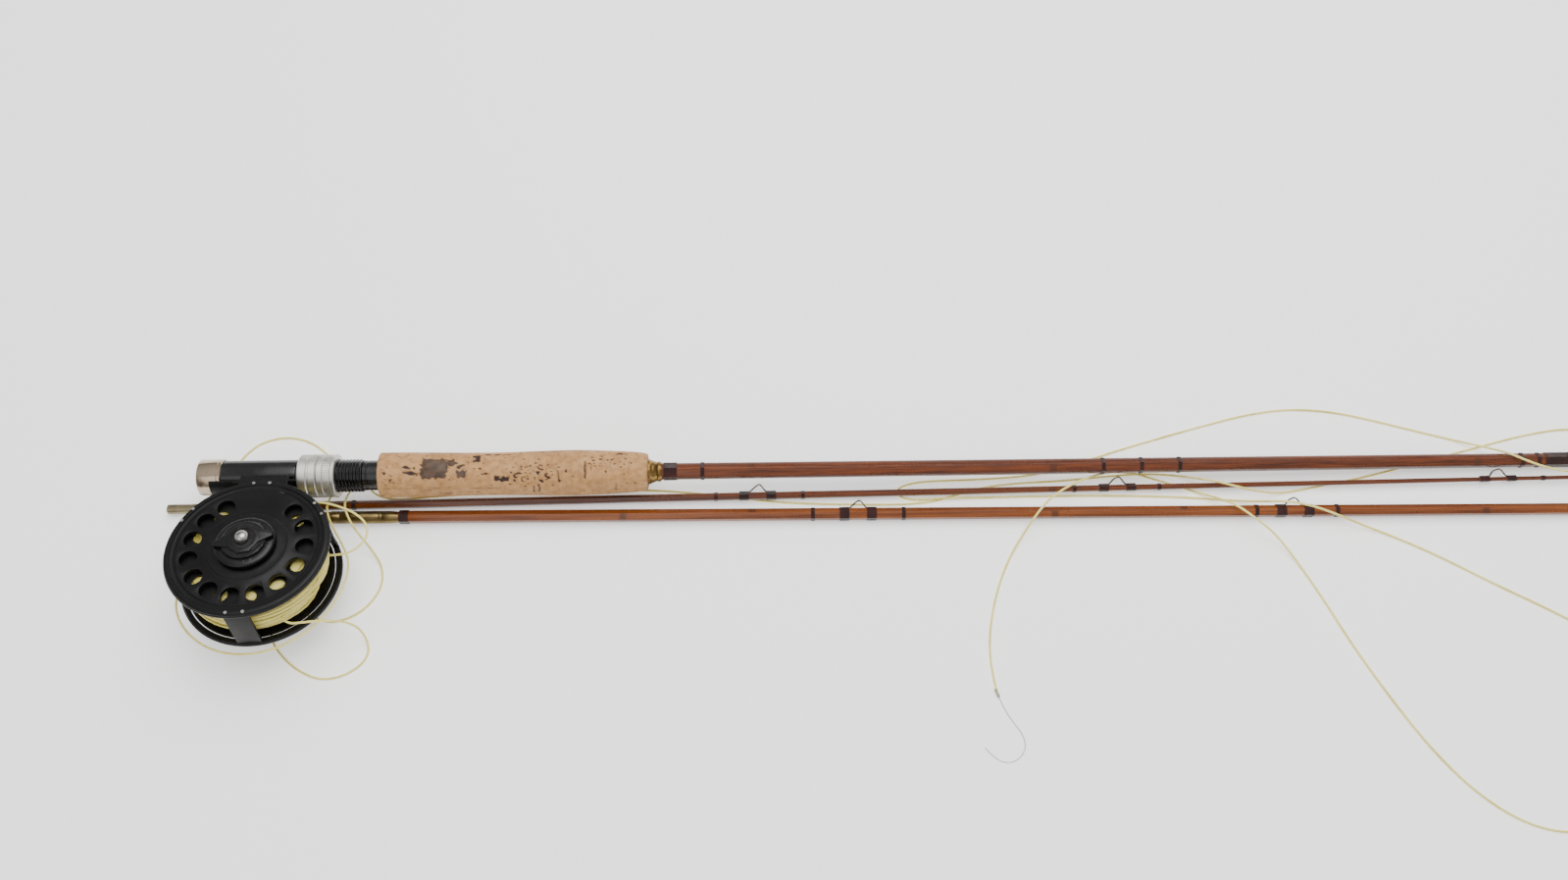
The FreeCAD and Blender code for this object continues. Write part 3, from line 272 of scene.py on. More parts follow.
threadWidth = 0.00024


def silkMaterial(name, colour, dark):
    # thread wound round the cane and varnished; the grooves between turns carry painted shade, the soaked
    # patches are the varnish's own tone
    made, tree, shader, coords = newMaterial(
        name, Coat_Weight=0.15, Coat_Roughness=0.15, Specular_IOR_Level=0.3
    )
    along = add(tree, "ShaderNodeSeparateXYZ", {0: coords}).outputs[0]
    turns = sums(tree, "SINE", share(tree, along, 2 * math.pi / threadWidth), 0.0)
    thread = sums(tree, "ADD", share(tree, turns, 0.5), 0.5)
    soaked = patches(tree, coords, 130.0, 0.4, 0.66)
    # thread is 1 on each turn's crown and 0 in the groove: it darkens the grooves as painted shade and also
    # drives the bump
    tone = share(tree, sums(tree, "ADD", thread, soaked), 0.5)
    tree.links.new(mixed(tree, tone, rgb(*dark), rgb(*colour)), shader.inputs["Base Color"])
    handled(tree, shader, coords, 0.28, 0.5, 200.0)
    bump(tree, shader, thread, 0.00008, 0.8)
    return made


def metalMaterial(name, bright, stained, smooth, dull, stain=(0.5, 0.72), size=90.0, grain=None):
    # bare metal with tarnish in patches, and turning marks where grain gives their number per metre
    made, tree, shader, coords = newMaterial(name, Metallic=1.0)
    tarnish = patches(tree, coords, size, *stain, Detail=8.0)
    scuffs = handled(tree, shader, coords, smooth, dull, size)
    colour = mixed(tree, tarnish, rgb(*bright), rgb(*stained))
    colour = mixed(tree, share(tree, scuffs, 0.4), colour, rgb(*stained))
    tree.links.new(colour, shader.inputs["Base Color"])
    if grain:
        along = add(tree, "ShaderNodeSeparateXYZ", {0: coords}).outputs[0]
        turning = {"W": along, "Scale": grain, "Detail": 2.0}
        lines = add(tree, "ShaderNodeTexNoise", turning, noise_dimensions="1D")
        bump(tree, shader, lines.outputs[0], 0.00004, 0.5)
    return made


def hardMaterial(name, colour, worn, smooth, dull, size=80.0, grain=0.0, coat=0.0, shine=0.5):
    # paint, plastic or lacquer with scuffs and a little dust
    made, tree, shader, coords = newMaterial(name, Coat_Weight=coat, Specular_IOR_Level=shine)
    scuffs = handled(tree, shader, coords, smooth, dull, size)
    dust = patches(tree, coords, size * 2.3, 0.52, 0.78)
    colour = mixed(tree, share(tree, dust, 0.55), rgb(*colour), rgb(*worn))
    colour = mixed(tree, share(tree, scuffs, 0.5), colour, rgb(*worn))
    tree.links.new(colour, shader.inputs["Base Color"])
    if grain:
        pebbles = add(tree, "ShaderNodeTexNoise", {"Vector": coords, "Scale": 2200.0, "Detail": 3.0})
        bump(tree, shader, pebbles.outputs[0], grain, 0.6)
    return made


def corkMaterial():
    # cells and grains, grime from hands, and the hollows, filler and glue lines that the mesh carries
    made, tree, shader, coords = newMaterial("oiledCork")
    cell = {"Vector": coords, "Scale": 620.0, "Randomness": 1.0}
    cells = add(tree, "ShaderNodeTexVoronoi", cell).outputs["Distance"]
    grains = patches(tree, coords, 260.0, 0.35, 0.7)
    colour = mixed(tree, grains, rgb(182, 136, 84), rgb(148, 102, 56))
    colour = mixed(tree, share(tree, cells, 0.45), colour, rgb(198, 154, 102))
    grime = patches(tree, coords, 34.0, 0.45, 0.72)
    colour = mixed(tree, share(tree, grime, 0.55), colour, rgb(122, 82, 44))
    pit = kept(tree, "pit")
    colour = mixed(tree, pit, colour, rgb(42, 18, 10))
    stain = mixed(tree, grains, rgb(84, 62, 44), rgb(56, 40, 28))
    colour = mixed(tree, kept(tree, "filler"), colour, stain)
    colour = mixed(tree, share(tree, kept(tree, "seam"), 0.45), colour, rgb(110, 76, 44))
    tree.links.new(colour, shader.inputs["Base Color"])
    handled(tree, shader, coords, 0.55, 0.85, 120.0)
    bump(tree, shader, sums(tree, "SUBTRACT", grains, share(tree, pit, 2.0)), 0.00012, 0.7)
    return made


def lineMaterial(name, fresh, old, see=0.0, smooth=0.3):
    # plastic-coated line, a little yellowed and dirty in places
    made, tree, shader, coords = newMaterial(name, Subsurface_Weight=0.08, Transmission_Weight=see)
    shader.inputs["Subsurface Radius"].default_value = (0.0012, 0.001, 0.0005)
    aged = patches(tree, coords, 38.0, 0.4, 0.7)
    dirt = patches(tree, coords, 210.0, 0.58, 0.75)
    colour = mixed(tree, aged, rgb(*fresh), rgb(*old))
    colour = mixed(tree, share(tree, dirt, 0.3), colour, rgb(150, 138, 84))
    tree.links.new(colour, shader.inputs["Base Color"])
    handled(tree, shader, coords, smooth, 0.55, 150.0)
    return made


finishes = {
    "buttCane": caneMaterial("buttCane", (58, 21, 5), (124, 60, 20), (78, 34, 12)),
    "midCane": caneMaterial("midCane", (78, 32, 8), (146, 80, 30), (102, 50, 18)),
    "tipCane": caneMaterial("tipCane", (60, 24, 7), (124, 62, 24), (80, 38, 15)),
    "silk": silkMaterial("varnishedSilk", (62, 20, 17), (24, 8, 8)),
    "cork": corkMaterial(),
    "line": lineMaterial("flyLine", (240, 228, 134), (220, 204, 98)),
    "nylon": lineMaterial("clearNylon", (214, 214, 206), (190, 186, 170), 0.7, 0.12),
}
# bright, stained, smooth, dull, where the stain starts and ends, size of the patches, turning marks
metals = {
    "bronze": ("agedFerrule", (120, 102, 66), (70, 58, 36), 0.26, 0.46, (0.42, 0.7), 70.0, 5000.0),
    "dullNickel": ("dullNickel", (142, 130, 104), (84, 74, 56), 0.26, 0.44, (0.42, 0.7), 90.0, 5000.0),
    "nickel": ("nickelSilver", (178, 160, 138), (84, 64, 48), 0.08, 0.22, (0.5, 0.74), 80.0, 4000.0),
    "brass": ("agedBrass", (150, 120, 70), (70, 50, 24), 0.2, 0.45, (0.45, 0.7), 120.0),
    "silver": ("mattSilver", (206, 203, 196), (150, 146, 138), 0.34, 0.55, (0.5, 0.8), 60.0, 6000.0),
    "steel": ("plainSteel", (170, 168, 164), (92, 88, 84), 0.22, 0.42, (0.5, 0.8), 140.0),
    "wire": ("guideWire", (120, 112, 104), (48, 36, 30), 0.22, 0.45, (0.4, 0.65), 260.0),
}
# colour, worn, smooth, dull, size of the patches, depth of the grain, coat, shine
hardOnes = {
    "seat": ("seatLacquer", (7, 7, 9), (34, 33, 34), 0.12, 0.34, 70.0, 0.0, 0.2, 0.35),
    "reel": ("satinBlack", (7, 7, 7), (22, 20, 19), 0.32, 0.46, 60.0, 0.00002, 0.0, 0.2),
    "knob": ("knobBlack", (6, 6, 6), (24, 22, 21), 0.26, 0.4, 90.0, 0.00002, 0.0, 0.3),
    "horn": ("polishedHorn", (22, 16, 14), (70, 58, 48), 0.16, 0.35, 110.0),
    "fibre": ("oiledFibre", (92, 48, 26), (60, 30, 16), 0.5, 0.7, 160.0, 0.00003),
    "arbor": ("plainWood", (150, 112, 70), (112, 80, 46), 0.5, 0.7, 150.0, 0.00003),
}
finishes.update({key: metalMaterial(*values) for key, values in metals.items()})
finishes.update({key: hardMaterial(*values) for key, values in hardOnes.items()})
print("materials made")


# the line: routes from the butt cap along the rod, from the rod's axis, and from the floor, in millimetres

looseTurnRoute = [
    (5.8, -62.3, 28.6), (1, -69.3, 29.5), (-1, -79.3, 30), (4, -91.5, 31), (15, -102.5, 32.3),
    (29, -109.3, 33.2), (45, -111, 33.3), (60.4, -107.6, 32.7), (73.7, -99.5, 31.4),
    (84, -88, 29.4), (90, -75, 26.5), (92, -62, 22.5), (90, -51, 18), (84, -40, 14.6),
    (78, -31, 12.6), (73.5, -23, 12), (71.5, -15, 12), (72, -6, 6), (74, 4, 2), (72, 14), (66, 22),
    (54, 31.5), (38, 35.4), (22, 31), (12, 20), (9, 9, 0.9), (10, -2, 4), (12, -12, 10.5),
    (13, -19, 16), (17, -23, 22), (22.6, -28.4, 26.4),
]
looseCoilRoute = [
    (80.8, -55, 36), (91, -55, 36), (99, -51.5, 35), (104.5, -44, 34), (103, -35, 33),
    (95, -28, 33), (84, -23.5, 33), (74, -20.5, 31), (67, -20.5, 28.8), (61, -26.2, 28.2),
]
runningLineRoute = [
    (61.4, -90.9, 39.2), (67, -95.6, 40), (73.5, -94.8, 38.6), (81, -92.5, 34), (89, -90.5, 27),
    (94.5, -89, 17), (98.5, -90.6, 7.5), (101.4, -96.4, 1.6), (101.7, -104), (96.6, -110.6),
    (87, -116), (75, -117.3), (63, -112), (53.6, -104.6), (45, -94), (44, -83), (53, -76),
    (65, -79), (77, -84), (90, -81), (100, -73), (106, -62), (105, -50, 0.9), (99, -41, 4),
    (91, -32, 9), (86, -25, 12), (82, -16, 12), (81, -7, 6.5), (84, 1, 2.2), (91, 2, 0.8), (97, -5),
    (108, -8), (125, -6.8), (150, -5.4), (185, -5), (225, -4.6), (262, -5), (292, -8), (322, -12.6),
    (348, -15.6), (380, -17), (410, -17.9), (430, -16.8), (446, -12.4), (462, -7.8), (484, -5.6),
    (512, -4.8), (540, -2.2), (562, -1.2), (578, -2.8, 0.9), (590, -7, 6), (600, -10.5, 10),
    (614, -15, 10), (629, -16.6, 5), (644, -15.6), (664, -12), (688, -7.6), (710, -2.6), (738, 4.6),
    (768, 12), (796, 19), (822, 23), (841, 20, 2.6), (852, 11, 10), (855, 2, 14.6), (848, -7, 15),
    (832, -11.5, 12), (812, -10.5, 12), (796, -8, 14.6), (785, -3, 15), (777, 4, 11),
    (766, 11.4, 3.6), (752, 17), (730, 23.5), (706, 31), (682, 37.4), (656, 40), (630, 37),
    (602, 30), (574, 22.4), (546, 14.4), (520, 6), (494, -0.8), (466, -2.6), (438, -3), (423, -3.6),
    (413, -6), (409.6, -9.8), (412.6, -13.6), (421, -15.3, 1.2), (432, -15.1, 2.2),
    (446, -14.7, 2.2), (460, -14.6, 0.8), (488, -14.4), (520, -14.6), (552, -15.4), (584, -17),
    (610, -19.6), (626, -22, 4), (640, -25, 12), (655, -29, 13), (670, -33.4, 9), (686, -38, 2.6),
    (702, -44), (727, -57), (756, -75), (784, -91), (808, -106), (829, -128), (836, -156),
    (824, -186), (800, -208), (771, -219), (743, -213), (718, -194), (698, -168), (682, -140),
    (667.2, -111), (654, -80), (643, -58, 1), (631, -43, 7), (620, -36, 12), (611, -28, 12.4),
    (603, -20.5, 6), (592, -14.6, 0.9), (576, -8.4), (565, -4.6), (556, -1.9, 2.2),
    (547, -0.6, 2.3), (537, -1, 3.4), (528, -4.6, 7.4), (519, -9, 11), (508, -14.6, 12.4),
    (498, -22, 13), (490, -31, 11), (483, -40, 4), (476, -50, 0.8), (468, -66), (462, -84),
    (458.4, -102), (458, -119), (460.4, -134),
]
leaderRoute = [
    (460.4, -134), (463, -141, 0.5), (467, -149, 0.3), (473, -157, 0.3), (474, -166, 0.3),
    (467, -173, 0.3), (457, -172, 0.3), (451, -164, 0.3),
]
line = {"diameter": 1.3, "leader": 0.5, "perPoint": 10, "rest": 0.7}


def onFloor(point):
    # a point with no height of its own lies on the floor
    height = point[2] if len(point) == 3 else line["rest"]
    return Vector((rodStart.x + point[0] * mm, rodStart.y + point[1] * mm, height * mm))


def tube(name, route, radius, sides, perPoint):
    curve = bpy.data.curves.new(name, "CURVE")
    curve.dimensions = "3D"
    curve.bevel_depth = radius
    curve.bevel_resolution = sides
    curve.use_fill_caps = True
    spline = curve.splines.new("NURBS")
    spline.points.add(len(route) - 1)
    for point, place in zip(spline.points, route):
        point.co = (*place, 1)
    spline.order_u = 3
    spline.use_endpoint_u = True
    spline.resolution_u = perPoint
    piece = bpy.data.objects.new(name, curve)
    bpy.context.scene.collection.objects.link(piece)
    return piece


def laidLine(name, route, diameter, finish, node):
    piece = tube(name, [onFloor(place) for place in route], diameter / 2 * mm, 3, line["perPoint"])
    piece.data.materials.append(finishes[finish])
    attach(piece, "butt_section")
    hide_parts(node)
    return piece


looseTurn = laidLine("looseTurnLine", looseTurnRoute, line["diameter"], "line", "loose_turn")
looseCoil = laidLine("looseCoilLine", looseCoilRoute, line["diameter"], "line", "loose_coil")
runningLine = laidLine("runningFlyLine", runningLineRoute, line["diameter"], "line", "running_line")
leader = laidLine("leaderNylon", leaderRoute, line["leader"], "nylon", "leader")
print("line laid")


# modelling helpers: pieces are drawn in millimetres in their own frame, then placed

weld = 0.0005


def deselect():
    if bpy.context.object and bpy.context.object.mode != "OBJECT":
        bpy.ops.object.mode_set(mode="OBJECT")
    bpy.ops.object.select_all(action="DESELECT")


def choose(piece):
    deselect()
    piece.select_set(True)
    bpy.context.view_layer.objects.active = piece


def modify(piece, kind, **settings):
    choose(piece)
    modifier = piece.modifiers.new(kind.lower(), kind)
    for key, value in settings.items():
        setattr(modifier, key, value)
    bpy.ops.object.modifier_apply(modifier=modifier.name)


def cleaned(piece):
    choose(piece)
    bpy.ops.object.mode_set(mode="EDIT")
    bpy.ops.mesh.select_all(action="SELECT")
    bpy.ops.mesh.remove_doubles(threshold=weld)
    bpy.ops.mesh.normals_make_consistent(inside=False)
    bpy.ops.object.mode_set(mode="OBJECT")


def outline(name, points):
    # one vertex extruded from point to point of (radius, height)
    deselect()
    bpy.ops.mesh.primitive_plane_add(size=1)
    piece = bpy.context.object
    piece.name = name
    piece.data.name = name
    bpy.ops.object.mode_set(mode="EDIT")
    bpy.ops.mesh.select_mode(type="VERT")
    bpy.ops.mesh.select_all(action="SELECT")
    bpy.ops.mesh.merge(type="CENTER")
    bpy.ops.transform.translate(value=(points[0][0], 0, points[0][1]))
    for start, end in zip(points, points[1:]):
        step = (end[0] - start[0], 0, end[1] - start[1])
        bpy.ops.mesh.extrude_region_move(TRANSFORM_OT_translate={"value": step})
    bpy.ops.object.mode_set(mode="OBJECT")
    return piece


def slab(name, points, low, high):
    # an outline of (across, up) points filled and pulled up to its thickness
    piece = outline(name, points + points[:1])
    bpy.ops.object.mode_set(mode="EDIT")
    bpy.ops.mesh.select_all(action="SELECT")
    bpy.ops.mesh.remove_doubles(threshold=weld)
    bpy.ops.mesh.edge_face_add()
    bpy.ops.object.mode_set(mode="OBJECT")
    piece.data.transform(Matrix.Rotation(math.radians(-90), 4, "X"))
    modify(piece, "SOLIDIFY", thickness=high - low, offset=1.0)
    cleaned(piece)
    bottom = min(vertex.co.z for vertex in piece.data.vertices)
    piece.data.transform(Matrix.Translation((0, 0, low - bottom)))
    return piece


def turned(name, points, sides=96, pitch=0.0, rounds=1):
    piece = outline(name, points)
    modify(
        piece,
        "SCREW",
        axis="Z",
        steps=sides,
        render_steps=sides,
        screw_offset=pitch,
        iterations=rounds,
        use_merge_vertices=True,
        merge_threshold=weld,
    )
    cleaned(piece)
    return piece


def softened(piece, width, segments=2, angle=35):
    modify(
        piece,
        "BEVEL",
        width=width,
        segments=segments,
        limit_method="ANGLE",
        angle_limit=math.radians(angle),
    )


def cutBy(piece, cutter):
    modify(piece, "BOOLEAN", operation="DIFFERENCE", solver="EXACT", object=cutter)
    bpy.data.objects.remove(cutter)


def joined(pieces, name):
    choose(pieces[0])
    for piece in pieces:
        piece.select_set(True)
    bpy.ops.object.join()
    pieces[0].name = name
    return pieces[0]


def block(name, size, place):
    deselect()
    bpy.ops.mesh.primitive_cube_add(size=1, location=place, scale=size)
    piece = bpy.context.object
    piece.name = name
    bpy.ops.object.transform_apply(location=True, rotation=True, scale=True)
    return piece


def peg(name, radius, low, high, x=0.0, y=0.0, sides=32):
    deselect()
    place = (x, y, (low + high) / 2)
    bpy.ops.mesh.primitive_cylinder_add(vertices=sides, radius=radius, depth=high - low, location=place)
    piece = bpy.context.object
    piece.name = name
    bpy.ops.object.transform_apply(location=True, rotation=True, scale=True)
    return piece


def pickFaces(piece, wanted):
    # the faces whose centre and normal pass the test, selected in edit mode
    choose(piece)
    bpy.ops.object.mode_set(mode="EDIT")
    bpy.ops.mesh.select_mode(type="FACE")
    bpy.ops.mesh.select_all(action="DESELECT")
    bpy.ops.object.mode_set(mode="OBJECT")
    for face in piece.data.polygons:
        face.select = wanted(face.center, face.normal)
    bpy.ops.object.mode_set(mode="EDIT")


def settle(piece, place, body, finish, nodes, angle=32):
    choose(piece)
    piece.matrix_world = place
    bpy.ops.object.transform_apply(location=True, rotation=True, scale=True)
    bpy.ops.object.shade_smooth_by_angle(angle=math.radians(angle))
    piece.data.materials.clear()
    piece.data.materials.append(finishes[finish])
    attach(piece, body)
    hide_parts(*nodes)
    return piece


# the three canes

length = 885.0
canes = {
    "butt": {"start": 16.0, "end": 825.0, "thick": 9.5, "thin": 7.5, "place": rodPlace},
    "mid": {"start": 71.0, "end": 825.0, "thick": 6.9, "thin": 6.15, "place": midPlace},
    "tip": {"start": 66.0, "end": 879.0, "thick": 5.2, "thin": 2.1, "place": tipPlace},
}


def cane(name, sizes):
    # a six-sided taper with its glued corners a little rounded, and each strip's number kept on its faces
    low = sizes["thick"] / 2 / math.cos(math.pi / 6)
    high = sizes["thin"] / 2 / math.cos(math.pi / 6)
    ends = sizes["start"], sizes["end"]
    middle = (ends[0] + ends[1]) / 2
    piece = turned(
        f"{name}SplitCane",
        [(0, ends[0]), (low, ends[0]), ((low + high) / 2, middle), (high, ends[1]), (0, ends[1])],
        sides=6,
    )
    softened(piece, 0.05 * sizes["thick"], 2, 40)
    strips = piece.data.attributes.new("strip", "FLOAT", "FACE")
    for face in piece.data.polygons:
        turn = math.atan2(face.normal.y, face.normal.x) / (2 * math.pi)
        strips.data[face.index].value = int((turn % 1) * 6) * 0.37 % 1
    body = f"{name}_section"
    settle(piece, sizes["place"], body, f"{name}Cane", [f"{name}_cane"], 20)


for name, sizes in canes.items():
    cane(name, sizes)
print("canes made")


# ferrules

ferrule = {"slide": 3.4, "sleeve": 3.75, "end": 71.0, "depth": 30.0, "wall": 0.75, "welt": 0.5}
tipFerrule = {"slide": 2.95, "sleeve": 3.4, "end": 66.0, "depth": 24.0}


def maleFerrule(name, sizes, place, body, node):
    slide, sleeve, end, depth = (sizes[key] for key in ("slide", "sleeve", "end", "depth"))
    points = [
        (0, 0), (slide - 1.3, 0), (slide - 1.0, 0.35), (slide - 0.5, 0.35), (slide, 0.8),
        (slide, depth),
    ]
    points += [(slide + 0.1, depth + 0.2), (sleeve - 0.05, depth + 0.8), (sleeve, depth + 1.2)]
    for ring in (depth + 6, end - 12, end - 10):
        points += [
            (sleeve, ring), (sleeve - 0.14, ring + 0.25), (sleeve - 0.14, ring + 0.5),
            (sleeve, ring + 0.75),
        ]
    points += [
        (sleeve, end - 5), (sleeve - 0.4, end), (sleeve - 0.62, end), (sleeve - 0.62, end - 3),
        (0, end - 3),
    ]
    piece = turned(name, points, 64)
    settle(piece, place, body, "dullNickel" if node.startswith("tip") else "bronze", [node])


def femaleFerrule(name, bore, place, body, node):
    wall = bore + ferrule["wall"]
    welt = wall + ferrule["welt"]
    base = length - 2 * ferrule["depth"]
    points = [(0, base + 2), (bore, base + 2), (bore + 0.02, base), (bore + 0.25, base), (wall, base + 5)]
    for ring in (base + 9, base + 11, base + 27):
        points += [(wall, ring), (wall - 0.14, ring + 0.25), (wall - 0.14, ring + 0.5), (wall, ring + 0.75)]
    points += [(wall, length - 4), (welt, length - 3.6), (welt, length - 2.2), (welt - 0.2, length - 2)]
    points += [(welt, length - 1.8), (welt, length - 0.6), (welt - 0.2, length - 0.3), (wall, length)]
    points += [(bore + 0.1, length), (bore, length - 0.2), (bore, length - 30), (0, length - 30)]
    piece = turned(name, points, 64)
    settle(piece, place, body, "bronze", [node])


maleFerrule("midMaleFerrule", ferrule, midPlace, "mid_section", "mid_ferrule_male")
maleFerrule("tipMaleFerrule", tipFerrule, tipPlace, "tip_section", "tip_ferrule_male")
femaleFerrule("buttFerruleTube", ferrule["slide"] + 0.03, rodPlace, "butt_section", "butt_ferrule")
femaleFerrule("midFerruleTube", tipFerrule["slide"] + 0.03, midPlace, "mid_section", "mid_ferrule_female")
print("ferrules made")


# cork grip, turned ring by ring

grip = {
    "start": 105.0, "length": 157.0, "rings": 12, "bore": 5.6,
    "front": 13.4, "waist": 12.6, "swell": 13.5, "nose": 10.6,
    "waistAt": 0.42, "swellAt": 0.72, "loops": 20, "sides": 168,
    "pitDepth": 0.34, "seamDepth": 0.1, "fillerDepth": 0.1, "unevenness": 0.05,
}

# filler pressed into the cork, and its hollows: from and to in millimetres along,
# from and to in degrees round, and how full
gripMarks = {
    "filler": [(25, 41, 156, 214, 1.0), (41, 52, 158, 178, 0.5), (46, 52, 190, 214, 0.95)],
    "streaks": [
        (53, 61, 136, 176, 0.66), (60, 78, 134, 152, 0.7), (40, 52, 158, 190, 0.55),
        (66, 78, 208, 228, 0.75), (13, 26, 176, 216, 0.5), (138, 146, 132, 152, 0.9),
        (32, 42, 256, 268, 0.8), (104, 108, 216, 232, 0.9), (14, 40, 292, 340, 0.4),
        (96, 150, 318, 352, 0.35), (60, 90, 40, 90, 0.4),
    ],
    "slits": [
        (90.4, 91.5, 236, 264, 1.0), (93.0, 94.6, 232, 260, 1.0), (104.8, 105.8, 196, 222, 1.0),
        (120.4, 121.8, 172, 220, 1.0), (124.2, 125.0, 180, 198, 0.9), (138.2, 139.1, 232, 262, 1.0),
        (6, 44, 238, 240.5, 1.0), (22, 50, 246, 248.5, 0.9), (53, 72, 243, 246, 1.0),
    ],
    "clusters": [
        (2, 13, 184, 236), (74, 106, 168, 236), (16, 30, 196, 214), (56, 74, 186, 214),
        (120, 150, 150, 196), (30, 60, 300, 350), (84, 120, 20, 80),
    ],
}


def gripRadius(along):
    # from the reel seat forward: a slight waist, a slight swell, then the blunt rounded nose
    waistAt, swellAt = grip["waistAt"], grip["swellAt"]
    if along < waistAt:
        ease = 0.5 - 0.5 * math.cos(math.pi * along / waistAt)
        return grip["front"] + (grip["waist"] - grip["front"]) * ease
    if along < swellAt:
        ease = 0.5 - 0.5 * math.cos(math.pi * (along - waistAt) / (swellAt - waistAt))
        return grip["waist"] + (grip["swell"] - grip["waist"]) * ease
    ease = (along - swellAt) / (1 - swellAt)
    blunt = 0.7 * ease ** 1.5 + 0.3 * ease ** 14
    return grip["swell"] - (grip["swell"] - grip["nose"]) * blunt


def within(value, low, high, soft):
    return max(0.0, min(1.0, (value - low) / soft, (high - value) / soft))


def marked(kind, along, turn, soft):
    most = 0.0
    for start, end, low, high, *full in gripMarks[kind]:
        inside = min(within(along, start, end, soft), within(turn, low, high, soft * 4.3))
        most = max(most, inside * (full[0] if full else 1.0))
    return most


def rises(value, width):
    return max(0.0, min(1.0, value / width))


def corkAt(place):
    # how much pit, seam and filler the cork has at a place on its surface
    each = grip["length"] / grip["rings"]
    along = place.z - grip["start"]
    turn = math.degrees(math.atan2(place.y, place.x)) % 360
    ring = int(along / each)
    x, y, z = place.x + 31 * ring, place.y - 17 * ring, place.z    # each ring is cut from another piece
    fine = noise.noise(Vector((x * 0.75, y * 0.75, z * 0.5)))
    coarse = noise.noise(Vector((x * 0.2, y * 0.2, z * 0.09 + 4.0)))
    torn = 0.5 + 0.5 * noise.noise(Vector((x * 0.5, y * 0.5, z * 0.16 + 9.0)))
    pit = rises(fine - 0.58 + 0.34 * marked("clusters", along, turn, 4.0) + 0.10 * coarse, 0.07)
    raggedAlong = along + 1.5 * noise.noise(place * 0.6)
    raggedTurn = turn + 6 * noise.noise(place * 0.5 + Vector((7, 3, 1)))
    streak = rises(marked("streaks", raggedAlong, raggedTurn, 2.0) - torn, 0.1)
    wavy = turn + 2.5 * noise.noise(Vector((0, 3, along * 0.25)))
    slit = marked("slits", along + 0.5 * noise.noise(place * 0.4), wavy, 0.4)
    patch = marked("filler", raggedAlong, raggedTurn, 0.8)
    filler = rises(patch - 0.85 * torn, 0.1) if patch < 0.9 else 1.0
    seam = max(0.0, 1 - abs(along / each - round(along / each)) * each / 0.5)
    seam = seam * (0.3 + 0.7 * abs(noise.noise(Vector((place.x, place.y, ring)) * 0.4)))
    return {"pit": max(pit, streak, slit * 0.95), "seam": seam, "filler": filler}


def corkGrip():
    start, loops = grip["start"], grip["rings"] * grip["loops"]
    top = start + grip["length"]
    points = [(grip["bore"], start), (grip["front"] - 1, start)]
    for loop in range(loops):
        along = (loop + 0.5) / loops
        points.append((gripRadius(along), start + along * grip["length"]))
    points += [(grip["nose"] - 1, top), (grip["bore"], top), (grip["bore"], start)]
    piece = turned("corkGripBody", points, grip["sides"])
    marks = {name: piece.data.attributes.new(name, "FLOAT", "POINT") for name in ("pit", "seam", "filler")}
    for vertex in piece.data.vertices:
        place = vertex.co
        if math.hypot(place.x, place.y) < grip["nose"] - 1.2:
            continue
        found = corkAt(place)
        for name, value in found.items():
            marks[name].data[vertex.index].value = value
        drop = sum(grip[name + "Depth"] * value for name, value in found.items())
        drop += grip["unevenness"] * noise.noise(place * 0.9)
        vertex.co = place - Vector((place.x, place.y, 0)).normalized() * drop
    settle(piece, rodPlace, "butt_section", "cork", ["cork_grip"], 80)


corkGrip()
print("cork grip made")


# reel seat

seat = {"barrel": 9.75, "start": 3.0, "threadStart": 57.0, "threadEnd": 95.0, "pitch": 2.0, "depth": 0.7}
cap = {"radius": 10.6, "length": 14.0, "rim": 0.9}
collar = {"radius": 8.9, "length": 10.0}
check = {"radius": 7.5, "length": 8.0, "bore": 5.0}
hood = {"start": 58.5, "length": 11.0}
nut = {"gap": 0.3, "length": 10.2, "radius": 12.75, "bore": 9.87, "flutes": 56}


def endCap():
    radius, end = cap["radius"], cap["length"]
    rim = cap["rim"]
    points = [(0, 0.25), (radius - 3.4, 0.25), (radius - 2.9, 0), (radius - rim, 0), (radius - 0.3, 0.3)]
    points += [(radius, rim), (radius, end - 2.4), (radius - 0.22, end - 2.2), (radius - 0.22, end - 1.7)]
    points += [(radius, end - 1.5), (radius, end - 0.4), (radius - 0.4, end), (seat["barrel"] + 0.03, end)]
    points += [(seat["barrel"] + 0.03, 2.6), (0, 2.6)]
    piece = turned("seatCap", points, 128)
    settle(piece, rodPlace, "butt_section", "nickel", ["seat_end_cap"])


def barrel():
    low, high, radius = seat["threadStart"], seat["threadEnd"], seat["barrel"]
    root = radius - seat["depth"]
    rounds = int((high - low) / seat["pitch"]) - 1
    step = seat["pitch"]
    start = low + 0.4
    thread = [(root, start), (root, start + 0.22 * step), (radius, start + 0.5 * step)]
    thread += [(radius, start + 0.72 * step), (root, start + step)]
    ridges = turned("seatThread", thread, 72, step, rounds)
    top = [(root - 2, low), (radius - 0.25, low), (radius - 0.05, low - 0.25), (radius, low - 0.6)]
    top += [(radius, seat["start"]), (root - 2, seat["start"])]
    body = turned("seatTube", top)
    last = [(root - 2, high - 2), (root + 0.02, high - 2), (root + 0.02, high), (root - 2, high)]
    end = turned("seatEnd", last)
    inside, outside = root - 0.3, root - 0.02
    sleeve = [(inside, low - 1), (outside, low - 1), (outside, high - 1), (inside, high - 1)]
    core = turned("seatCore", sleeve)
    piece = joined([body, ridges, end, core], "seatBarrelThreaded")
    settle(piece, rodPlace, "butt_section", "seat", ["seat_barrel"])


